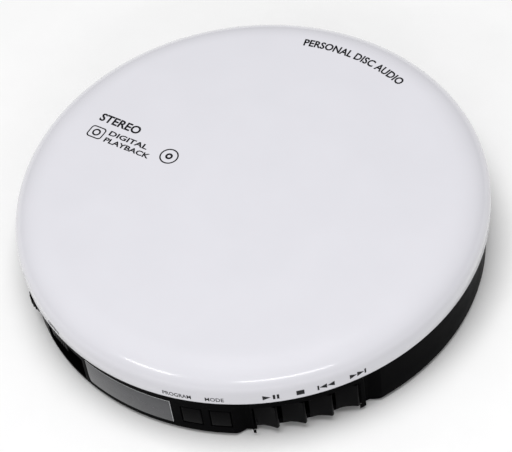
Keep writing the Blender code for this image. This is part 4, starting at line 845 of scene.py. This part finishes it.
stem_z = 7.3 * mm
slider_face = case_radius - 0.9 * mm
slider_outer = recess_back - 1.4 * mm - clearance
slider_top = case_top - 1.6 * mm
knob = brick("release_knob", latch_azimuth, (recess_back + clearance, slider_face), (-8.8 * mm, 0.2 * mm),
             (stem_z - 2.7 * mm, stem_z + 2.7 * mm), key_black)
soften(knob, 0.5 * mm, 3)
grooves = [brick("grip_groove", latch_azimuth, (slider_face - 0.45 * mm, slider_face + 1 * mm),
                 (-6.9 * mm + 1.3 * mm * i, -6.3 * mm + 1.3 * mm * i), (stem_z - 2.1 * mm, stem_z + 2.1 * mm))
           for i in range(5)]
combine(knob, "DIFFERENCE", grooves)
inner_parts = [brick("stem", latch_azimuth, (slider_outer - 0.4 * mm, recess_back + 0.7 * mm),
                     (-6.8 * mm, -3.9 * mm), (stem_z - 1 * mm, stem_z + 1 * mm)),
               brick("slider_plate", latch_azimuth, (slider_outer - 1.2 * mm, slider_outer),
                     (-7.8 * mm, 4.4 * mm), (6.1 * mm, slider_top)),
               brick("claw", latch_azimuth, (slider_outer - 0.4 * mm, case_radius - 3.0 * mm),
                     (2.8 * mm, 4.4 * mm), (slider_top - 1.1 * mm, slider_top))]
combine(knob, "UNION", inner_parts)
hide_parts("open_slider")
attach(knob, "open_slider")


# Volume dial
# A knurled black wheel that lies flat in a slot, with its edge out of the wall. It turns on the shaft of the
# control on the board.

dial_teeth, tooth_depth, dial_half = 40, 0.32 * mm, 1.2 * mm
knurl = []
tooth_shape = (0.0, tooth_depth * 0.35, tooth_depth, tooth_depth * 0.35)
knurl_steps = dial_teeth * len(tooth_shape)
for i in range(knurl_steps):
    depth = tooth_shape[i % len(tooth_shape)]
    angle = math.tau * i / knurl_steps
    knurl.append(((dial_radius - depth) * math.cos(angle), (dial_radius - depth) * math.sin(angle)))
dial = slab("dial", [knurl, ring(1.4 * mm, 24)], -dial_half, dial_half, key_black)
soften(dial, 0.22 * mm, 2, 60)
dial.data.transform(Matrix.Translation(dial_centre))
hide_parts("volume_dial")
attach(dial, "volume_dial")


# Headphone and power jacks
# Black resin sockets on the board, with round collars in the wall. The power jack has a plated centre pin,
# and a plated ring lines the headphone jack.

resin = moulded("black_resin", (0.015, 0.015, 0.016), 0.5, grain=3500.0, depth=0.15, wear=0.15, specular=0.3,
                edge=0.00015)
plated = metal("plated_steel", (0.72, 0.70, 0.64), 0.22)
jack_back = case_inner - 13 * mm
for node, azimuth, collar, hole in (("headphone_jack", headphone_azimuth, 3.0 * mm, 1.8 * mm),
                                    ("dc_jack", power_azimuth, 3.4 * mm, 2.75 * mm)):
    jack = brick(node + "_body", azimuth, (jack_back, case_inner - 0.5 * mm), (-4 * mm, 4 * mm),
                 (6.1 * mm, jack_z + 3.4 * mm), resin)
    soften(jack, 0.3 * mm, 2)
    outer = case_radius - 0.2 * mm
    combine(jack, "UNION", [bar("collar", around(case_inner - 2 * mm, azimuth, jack_z),
                                around(outer - 0.3 * mm, azimuth, jack_z), collar),
                            bar("collar_edge", around(outer - 0.31 * mm, azimuth, jack_z),
                                around(outer, azimuth, jack_z), collar, collar - 0.3 * mm)])
    combine(jack, "DIFFERENCE", [bar("socket", around(jack_back + 1.5 * mm, azimuth, jack_z),
                                     around(case_radius + overcut, azimuth, jack_z), hole),
                                 bar("mouth", around(outer - 0.4 * mm, azimuth, jack_z),
                                     around(outer + 0.1 * mm, azimuth, jack_z), hole, hole + 0.4 * mm)])
    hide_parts(node)
    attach(jack, "case")
power_pin = bar("power_pin", around(jack_back + 1.0 * mm, power_azimuth, jack_z),
                around(case_radius - 1.2 * mm, power_azimuth, jack_z), 0.7 * mm, material=plated)
liner = bar("headphone_liner", around(jack_back + 2 * mm, headphone_azimuth, jack_z),
            around(case_radius - 1.2 * mm, headphone_azimuth, jack_z), 1.78 * mm, material=plated)
combine(liner, "DIFFERENCE", [bar("liner_bore", around(jack_back, headphone_azimuth, jack_z),
                                  around(case_radius, headphone_azimuth, jack_z), 1.6 * mm)])
for piece in (power_pin, liner):
    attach(piece, "case")


# Upper cabinet
# A dark grey moulding that closes the case: the disc well with its upright wall, a long opening for the lens
# and bosses underneath that take the case screws.

deck_grey = moulded("deck_grey", (0.035, 0.036, 0.040), 0.42, grain=3200.0, depth=0.10, wear=0.10,
                    specular=0.30, edge=0.00015)
well_radius, well_outer = 61.3 * mm, 62.8 * mm
well_top, well_rim = well_floor + 1.2 * mm, case_top + 4.0 * mm
flange_low = case_top + clearance
flange_top = flange_low + 1.2 * mm
grooves = []
for radius in (24.0 * mm, 42.0 * mm, 57.0 * mm):
    grooves += [(radius, well_top), (radius + 0.2 * mm, well_top - 0.2 * mm),
                (radius + 0.8 * mm, well_top - 0.2 * mm), (radius + 1.0 * mm, well_top)]
cabinet_profile = ([(0.0, well_top)] + grooves
                   + [(well_radius - 0.8 * mm, well_top), (well_radius - 0.2 * mm, well_top + 0.2 * mm),
                      (well_radius, well_top + 0.8 * mm), (well_radius, well_rim - 0.3 * mm),
                      (well_radius + 0.3 * mm, well_rim), (well_outer - 0.3 * mm, well_rim),
                      (well_outer, well_rim - 0.3 * mm), (well_outer, flange_top),
                      (case_radius - 0.3 * mm, flange_top), (case_radius, flange_top - 0.3 * mm),
                      (case_radius, flange_low), (well_outer + 0.2 * mm, flange_low),
                      (well_outer + 0.2 * mm, well_floor), (0.0, well_floor)])
cabinet = lathe("cabinet", cabinet_profile, 180, deck_grey)
combine(cabinet, "UNION", [bar("boss", (x, y, 13.5 * mm), (x, y, well_top - 0.4 * mm), 2.6 * mm)
                           for x, y in screw_spots])
low, high = well_floor - overcut, well_rim + overcut
openings = [bar("hub_opening", (0, 0, low), (0, 0, well_top + 1 * mm), 16.5 * mm, steps=96),
            brick("sled_opening", 0.0, (0.0, well_radius - 0.4 * mm), (-6.4 * mm, 6.4 * mm),
                  (low, well_top + 1 * mm)),
            brick("catch_slot", latch_azimuth, (recess_back - 0.8 * mm, recess_back + 2.4 * mm),
                  (-3.3 * mm, 3.3 * mm), (low, high)),
            bar("nub_hole", (nub.x, nub.y, low), (nub.x, nub.y, high), 1.9 * mm)]
openings += [bar("pilot", (x, y, 12.0 * mm), (x, y, 16.6 * mm), 1.2 * mm) for x, y in screw_spots]
openings += arm_openings(low)
combine(cabinet, "DIFFERENCE", openings)
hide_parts("upper_cabinet")
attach(cabinet, "case")


# Lid lining
# A dark grey disc moulded with a thicker rim and stiffening rings, glued under the crown of the lid.

lining_low, lining_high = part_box("lid_inner_panel")
lining_radius, lining_top, lining_under = lining_high[0], lining_high[2], lining_low[2]
rings = []
for radius in (50.0 * mm, 36.0 * mm, 22.0 * mm):
    rings += [(radius, lining_under + 0.2 * mm), (radius - 0.2 * mm, lining_under + 0.05 * mm),
              (radius - 0.9 * mm, lining_under + 0.05 * mm), (radius - 1.1 * mm, lining_under + 0.2 * mm)]
lining = lathe("lining", [(0.0, lining_top), (lining_radius - 0.2 * mm, lining_top),
                          (lining_radius, lining_top - 0.2 * mm), (lining_radius, lining_under + 0.2 * mm),
                          (lining_radius - 0.2 * mm, lining_under), (lining_radius - 4.0 * mm, lining_under),
                          (lining_radius - 4.6 * mm, lining_under + 0.2 * mm)] + rings
               + [(10.0 * mm, lining_under + 0.2 * mm), (9.6 * mm, lining_under + 0.5 * mm),
                  (0.0, lining_under + 0.5 * mm)], 180, deck_grey)
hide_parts("lid_inner_panel")
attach(lining, "lid")


# Lid arms, hinge pins and springs
# Two black arms reach under the lid and turn on steel pins in the case. Round-wire springs lift the lid,
# return the release slider and press on the batteries.

tab = 1.2 * mm
pin_radius, bore_radius, chamfer = 1.5 * mm, 1.8 * mm, 0.2 * mm
quarter = math.pi / 2
lengthwise = Matrix(((0, 0, 1), (1, 0, 0), (0, 1, 0))).to_4x4()


def coil(name, turns, radius, end_radius, length, wire, place, turn, material):
    """A round-wire spring that starts at a place and runs along +Z before it is turned."""
    curve = bpy.data.curves.new(name, "CURVE")
    curve.dimensions = "3D"
    curve.bevel_depth = wire
    curve.bevel_resolution = 3
    curve.use_fill_caps = True
    spline = curve.splines.new("POLY")
    steps = int(turns * 36)
    spline.points.add(steps)
    for i, point in enumerate(spline.points):
        share = i / steps
        reach = radius + (end_radius - radius) * share
        point.co = (reach * math.cos(share * turns * math.tau), reach * math.sin(share * turns * math.tau),
                    share * length, 1.0)
    mesh = flat_mesh(curve)
    mesh.transform(Matrix.Translation(place) @ turn.to_4x4())
    mesh.shade_smooth()
    return scene_object(name, mesh, material)


arm_top = lining_under - clearance - hinge_z
toe_round, arm_reach, arm_back = 3.2 * mm, 13 * mm, 2.8 * mm
heel = [(knuckle * math.cos(a), knuckle * math.sin(a))
        for a in [math.radians(-90 + 7.5 * i) for i in range(13)]]
toe = [(-toe_round * math.cos(a), -toe_round * math.sin(a)) for a in [math.radians(11 * i) for i in range(7)]]
arm_outline = (heel + [(knuckle, arm_top - 5.1 * mm), (knuckle - 0.9 * mm, arm_top - 3.9 * mm),
                       (arm_back, arm_top - 2.6 * mm), (arm_back, arm_top), (-arm_reach, arm_top),
                       (-arm_reach, arm_top - tab), (-0.5 * mm, arm_top - tab), (-0.5 * mm, toe_round)] + toe)
for side, word_end in ((-1, "left"), (1, "right")):
    arm = slab("arm_" + word_end, [arm_outline], -arm_width / 2, arm_width / 2, black_satin)
    arm.data.transform(Matrix.Translation((side * hinge_x, hinge_y, hinge_z)) @ lengthwise)
    soften(arm, 0.2 * mm, 2, 40)
    combine(arm, "DIFFERENCE", [bar("arm_bore", (side * hinge_x - 5 * mm, hinge_y, hinge_z),
                                    (side * hinge_x + 5 * mm, hinge_y, hinge_z), bore_radius)])
    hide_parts("hinge_arm_" + word_end)
    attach(arm, "lid")
    node = "hinge_pin_" + word_end
    pin_low, pin_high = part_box(node)
    pin_start, pin_stop = pin_low[0] + chamfer, pin_high[0] - chamfer
    pin = bar("pin_" + word_end, (pin_start, hinge_y, hinge_z), (pin_stop, hinge_y, hinge_z), pin_radius,
              material=steel)
    ends = [bar("pin_end", (x, hinge_y, hinge_z), (x + way * chamfer, hinge_y, hinge_z), pin_radius,
                pin_radius - chamfer) for x, way in ((pin_start, -1), (pin_stop, 1))]
    combine(pin, "UNION", ends)
    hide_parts(node)
    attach(pin, "case")

spring_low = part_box("lid_spring")[0]
springs = {"lid_spring": coil("lid_coil", 4, 2.3 * mm, 2.3 * mm, 3.2 * mm, 0.35 * mm,
                              (spring_low[0] + 0.3 * mm, hinge_y, hinge_z), Matrix.Rotation(quarter, 3, "Y"),
                              steel)}
along = Vector((-math.sin(latch_azimuth), math.cos(latch_azimuth), 0.0))
return_start = around(slider_outer - 1.9 * mm, latch_azimuth, 13.2 * mm) - along * 13.4 * mm
springs["slider_spring"] = coil("return_coil", 4, 1.3 * mm, 1.3 * mm, 5.0 * mm, 0.22 * mm, return_start,
                                along.to_track_quat("Z", "Y").to_matrix(), steel)
cell_z = (case_floor + well_floor - 0.5 * mm) / 2 + 0.4 * mm
for side, word_end, row in ((-1, "left", 30.3 * mm), (1, "right", 44.8 * mm)):
    springs["battery_spring_" + word_end] = coil(
        "cell_coil_" + word_end, 3.5, 4.6 * mm, 2.62 * mm, 2.6 * mm, 0.35 * mm,
        (side * (bay_half - 0.65 * mm), row, cell_z), Matrix.Rotation(-side * quarter, 3, "Y"), plated)
for node, spring in springs.items():
    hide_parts(node)
    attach(spring, "case")


# Lid catch
# A black tab that hangs from the lid through a slot in the cabinet, with a notch for the slider's claw.

catch_outer = recess_back + tab
catch_half, catch_top = 2.5 * mm, lining_under - clearance
catch = brick("catch", latch_azimuth, (recess_back - 12 * mm, catch_outer), (-catch_half, catch_half),
              (catch_top - tab, catch_top), black_satin)
hanging = brick("catch_tab", latch_azimuth, (recess_back, catch_outer), (-catch_half, catch_half),
                (case_top - 3.8 * mm, catch_top - 0.4 * mm))
soften(hanging, 0.2 * mm, 2)
combine(catch, "UNION", [hanging])
combine(catch, "DIFFERENCE", [brick("catch_notch", latch_azimuth,
                                    (recess_back - overcut, catch_outer + overcut), (0.5 * mm, 5.0 * mm),
                                    (slider_top - 1.2 * mm, slider_top + 0.5 * mm))])
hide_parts("lid_catch")
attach(catch, "lid")


# Disc hub, spindle and motor
# A grey hub with three sprung claws that grip the disc's hole. It is pressed on the steel shaft of a flat
# motor.

disc_rest = well_top + 2.4 * mm
hub_top = disc_rest + 2.6 * mm
boss, flange_edge = 7.3 * mm, 15.0 * mm
hub = lathe("hub", [(0.0, hub_top), (boss - 1.5 * mm, hub_top), (boss - 0.6 * mm, hub_top - 0.3 * mm),
                    (boss - 0.1 * mm, hub_top - 1.0 * mm), (boss, hub_top - 1.5 * mm), (boss, disc_rest),
                    (14.7 * mm, disc_rest), (flange_edge, disc_rest - 0.25 * mm),
                    (flange_edge, disc_rest - 0.7 * mm), (14.7 * mm, disc_rest - 0.85 * mm),
                    (4.0 * mm, disc_rest - 1.0 * mm),
                    (0.0, disc_rest - 1.0 * mm)], 96, deck_grey)
hub_slots = [brick("claw_slot", math.radians(120 * i + 90), (boss - 2.2 * mm, boss - 1.4 * mm),
                   (-1.9 * mm, 1.9 * mm), (disc_rest + 0.4 * mm, hub_top + 1 * mm)) for i in range(3)]
combine(hub, "DIFFERENCE", hub_slots)
shaft_low, shaft_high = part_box("spindle_shaft")
spindle = bar("spindle", (0, 0, shaft_low[2]), (0, 0, shaft_high[2]), 1.0 * mm, material=steel)
for piece, node, look in ((hub, "disc_hub", "deck_grey"), (spindle, "spindle_shaft", "steel")):
    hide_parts(node)
    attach(piece, "disc_hub")
motor_low, motor_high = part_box("spindle_motor")
can, bottom, top = motor_high[0], motor_low[2], motor_high[2]
bead = can - 0.25 * mm
motor = lathe("motor_can", [(0.0, top), (can - 0.8 * mm, top), (can - 0.2 * mm, top - 0.2 * mm),
                            (can, top - 0.8 * mm), (can, bottom + 2.4 * mm), (bead, bottom + 2.2 * mm),
                            (bead, bottom + 1.8 * mm), (can, bottom + 1.6 * mm),
                            (can, bottom + 0.8 * mm), (can - 0.2 * mm, bottom + 0.2 * mm),
                            (can - 0.8 * mm, bottom), (0.0, bottom)], 64, steel)
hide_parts("spindle_motor")
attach(motor, "case")


# Pickup sled and lens
# A die-cast sled on two round rails, with a tower that carries a small domed glass lens.

rail_z, rail_spread, lens_x, sled_half = 13.2 * mm, 10.5 * mm, 23.2 * mm, 12.9 * mm
sled_left, sled_right, sled_low = 12.0 * mm, 21.2 * mm, 11.3 * mm
tower_top = well_top + clearance
cast = metal("cast_alloy", (0.42, 0.43, 0.45), 0.42, grain=1500.0, depth=0.25, stretch=(1.0, 1.0, 1.0))
sled = brick("sled", 0.0, (sled_left, sled_right), (-sled_half, sled_half), (sled_low, rail_z + 1.7 * mm),
             cast)
tower = brick("tower", 0.0, (18.7 * mm, 26.5 * mm), (-5.6 * mm, 5.6 * mm), (sled_low - 1 * mm, tower_top))
soften(sled, 0.3 * mm, 2)
soften(tower, 0.5 * mm, 3)
combine(sled, "UNION", [tower, brick("follower", 0.0, (sled_left + 2 * mm, sled_left + 6 * mm),
                                     (-14.0 * mm, 1.5 * mm - sled_half), (9.0 * mm, sled_low + 1 * mm))])
bores = [bar("rail_bore", (sled_left - overcut, y, rail_z), (sled_right + overcut, y, rail_z), 1.3 * mm)
         for y in (-rail_spread, rail_spread)]
bores.append(bar("lens_well", (lens_x, 0, tower_top - 1.5 * mm), (lens_x, 0, tower_top + overcut), 2.7 * mm))
combine(sled, "DIFFERENCE", bores)
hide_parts("pickup_sled")
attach(sled, "pickup_sled")
lens_low, lens_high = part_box("objective_lens")
dome_radius, dome_rise, dome_steps, ring_radius = 1.8 * mm, 0.5 * mm, 12, 2.4 * mm
lens_glass = moulded("coated_glass", (0.05, 0.07, 0.16), 0.04, grain=300.0, depth=0.002, wear=0.10,
                     specular=0.8, coat=1.0)
dome = [(dome_radius * math.sin(quarter * i / dome_steps),
         lens_high[2] - dome_rise * (1 - math.cos(quarter * i / dome_steps))) for i in range(dome_steps + 1)]
lens = lathe("lens", dome + [(ring_radius, lens_high[2] - dome_rise), (ring_radius, lens_low[2]),
                             (0.0, lens_low[2])], 48, lens_glass, (lens_x, 0.0))
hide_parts("objective_lens")
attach(lens, "objective_lens")


# Rails, feed motor and feed screw
# Two ground steel rails, and a small motor whose long threaded shaft drives the sled.

for node in ("guide_rail_front", "guide_rail_rear"):
    rail_low, rail_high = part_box(node)
    rail_y = (rail_low[1] + rail_high[1]) / 2
    rail = bar(node.replace("guide_", ""), (rail_low[0], rail_y, rail_z), (rail_high[0], rail_y, rail_z),
               1.0 * mm, material=steel)
    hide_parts(node)
    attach(rail, "case")
feed_y, feed_z, feed_lead = -15.5 * mm, 10.0 * mm, 4.0 * mm
feed_low, feed_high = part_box("feed_motor")
body_length = feed_high[0] - feed_low[0]
feed_can = lathe("feed_can", [(0.0, body_length), (2.0 * mm, body_length), (2.0 * mm, body_length - 0.6 * mm),
                              (4.1 * mm, body_length - 0.6 * mm), (4.5 * mm, body_length - 1.0 * mm),
                              (4.5 * mm, 2.2 * mm), (4.3 * mm, 2.0 * mm), (4.3 * mm, 1.6 * mm),
                              (4.5 * mm, 1.4 * mm), (4.5 * mm, 0.4 * mm), (4.1 * mm, 0.0), (0.0, 0.0)],
                 48, steel)
feed_can.data.transform(Matrix.Translation((feed_low[0], feed_y, feed_z)) @ lengthwise)
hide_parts("feed_motor")
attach(feed_can, "case")
thread_low, thread_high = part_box("feed_screw")
thread_length = thread_high[0] - thread_low[0]
rows, sectors, starts, plain_end = 260, 24, 2, 2.0 * mm
shaft_radius, crest_radius, groove_depth = 1.0 * mm, 1.2 * mm, 0.32 * mm
thread_shape = bmesh.new()
rounds = []
for i in range(rows + 1):
    reach = thread_length * i / rows
    plain = reach < plain_end or reach > thread_length - plain_end
    circle = []
    for j in range(sectors):
        turn = math.tau * j / sectors
        phase = (reach / feed_lead * starts - turn / math.tau) % 1.0
        groove = min(1.0, max(0.0, 1.5 - 4 * abs(phase - 0.5)))
        radius = shaft_radius if plain else crest_radius - groove_depth * groove
        circle.append(thread_shape.verts.new((thread_low[0] + reach, feed_y + radius * math.cos(turn),
                                              feed_z + radius * math.sin(turn))))
    rounds.append(circle)
for first, second in zip(rounds, rounds[1:]):
    for j in range(sectors):
        thread_shape.faces.new((first[j], first[(j + 1) % sectors], second[(j + 1) % sectors], second[j]))
thread_shape.faces.new(rounds[0][::-1])
thread_shape.faces.new(rounds[-1])
bmesh.ops.recalc_face_normals(thread_shape, faces=thread_shape.faces)
thread_mesh = bpy.data.meshes.new("threaded_shaft")
thread_shape.to_mesh(thread_mesh)
thread_shape.free()
threaded = scene_object("threaded_shaft", thread_mesh, steel)
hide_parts("feed_screw")
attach(threaded, "feed_screw")


# Chassis and dampers
# A pressed steel plate, with lugs that hold the rails and the screw. It stands on three black rubber dampers
# with a waist.

pressed = metal("pressed_steel", (0.50, 0.50, 0.48), 0.35, grain=700.0, depth=0.12, stretch=(1.0, 14.0, 1.0))
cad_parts["mechanism_chassis"].material_slots[0].material = pressed
waist_steps = 6
for i, (x, y) in enumerate(damper_spots):
    damper_low, damper_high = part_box(f"damper_{i + 1}")
    low, high = damper_low[2], damper_high[2]
    waist = (low + high) / 2
    half_waist = [(2.2 * mm + 0.8 * mm * (1 - math.cos(quarter * j / waist_steps)),
                   0.3 * mm + 0.6 * mm * j / waist_steps) for j in range(waist_steps + 1)]
    soft = lathe(f"rubber_mount_{i + 1}", [(0.0, high), (2.8 * mm, high), (3.0 * mm, high - 0.2 * mm)]
                 + [(radius, waist + rise) for radius, rise in half_waist[::-1]]
                 + [(radius, waist - rise) for radius, rise in half_waist]
                 + [(3.0 * mm, low + 0.2 * mm), (2.8 * mm, low), (0.0, low)], 40, rubber, (x, y))
    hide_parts(f"damper_{i + 1}")
    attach(soft, "case")


# Circuit board and chips
# A green board with fine copper traces under its lacquer. Three black chips stand on it on rows of plated
# legs.


def board_lacquer():
    """Green lacquer with darker and lighter bands where traces run beneath it."""
    material, tree, shader = shader_of("green_lacquer")
    coordinates = tree.nodes.new("ShaderNodeTexCoord")
    traces = tree.nodes.new("ShaderNodeTexBrick")
    traces.inputs["Scale"].default_value = 210.0
    traces.inputs["Mortar Size"].default_value = 0.09
    traces.inputs["Color1"].default_value = (0.012, 0.085, 0.035, 1.0)
    traces.inputs["Color2"].default_value = (0.016, 0.105, 0.045, 1.0)
    traces.inputs["Mortar"].default_value = (0.045, 0.21, 0.08, 1.0)
    tree.links.new(coordinates.outputs["Object"], traces.inputs["Vector"])
    tree.links.new(traces.outputs["Color"], shader.inputs["Base Color"])
    tree.links.new(spread(tree, noise_in(tree, 300.0, 3.0), 0.24, 0.38), shader.inputs["Roughness"])
    raised = tree.nodes.new("ShaderNodeBump")
    raised.inputs["Strength"].default_value = 0.3
    raised.inputs["Distance"].default_value = 0.00005
    tree.links.new(traces.outputs["Fac"], raised.inputs["Height"])
    tree.links.new(raised.outputs["Normal"], shader.inputs["Normal"])
    return material


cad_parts["main_board"].material_slots[0].material = board_lacquer()
board_top = 5.8 * mm
leg_pitch, leg_half, leg_thickness, leg_margin = 0.8 * mm, 0.15 * mm, 0.15 * mm, 1.2 * mm
for node in ("decoder_chip", "buffer_memory_chip", "servo_chip"):
    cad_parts[node].material_slots[0].material = resin
    low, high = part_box(node)
    legs = []
    leg_low, leg_high = board_top + 0.02 * mm, (low[2] + high[2]) / 2
    for axis in ((0, 1) if node != "buffer_memory_chip" else (0,)):
        across = 1 - axis
        count = int((high[across] - low[across] - leg_margin) / leg_pitch)
        first = (low[across] + high[across]) / 2 - (count - 1) * leg_pitch / 2
        for edge, way in ((low[axis], -1), (high[axis], 1)):
            for i in range(count):
                place = first + i * leg_pitch
                spans = [None, None]
                for start, end, bottom, top in ((0.0, 0.6, leg_high - leg_thickness, leg_high),
                                                (0.5, 0.65, leg_low, leg_high),
                                                (0.5, 1.0, leg_low, leg_low + leg_thickness)):
                    spans[axis] = tuple(sorted((edge + way * start * mm, edge + way * end * mm)))
                    spans[across] = (place - leg_half, place + leg_half)
                    legs.append(brick("leg", 0.0, spans[0], spans[1], (bottom, top)))
    joined = bmesh.new()
    for leg in legs:
        joined.from_mesh(leg.data)
        bpy.data.objects.remove(leg)
    leg_mesh = bpy.data.meshes.new(node + "_legs")
    joined.to_mesh(leg_mesh)
    joined.free()
    leg_row = scene_object(node + "_legs", leg_mesh, plated)
    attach(leg_row, "case")


# Lid switch, battery contacts, key switches and volume control
# Small bought-in parts: a black switch with a grey plunger, sprung plated contacts, a brown flexible strip
# with switch domes, and the control under the dial.

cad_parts["lid_switch"].material_slots[0].material = resin
for node in ("battery_contact_left", "battery_contact_right"):
    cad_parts[node].material_slots[0].material = plated
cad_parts["lid_switch_plunger"].material_slots[0].material = deck_grey
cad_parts["volume_control"].material_slots[0].material = steel
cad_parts["key_switch_strip"].material_slots[0].material = moulded(
    "flexible_strip", (0.055, 0.026, 0.010), 0.35, grain=1800.0, depth=0.08, wear=0.20)
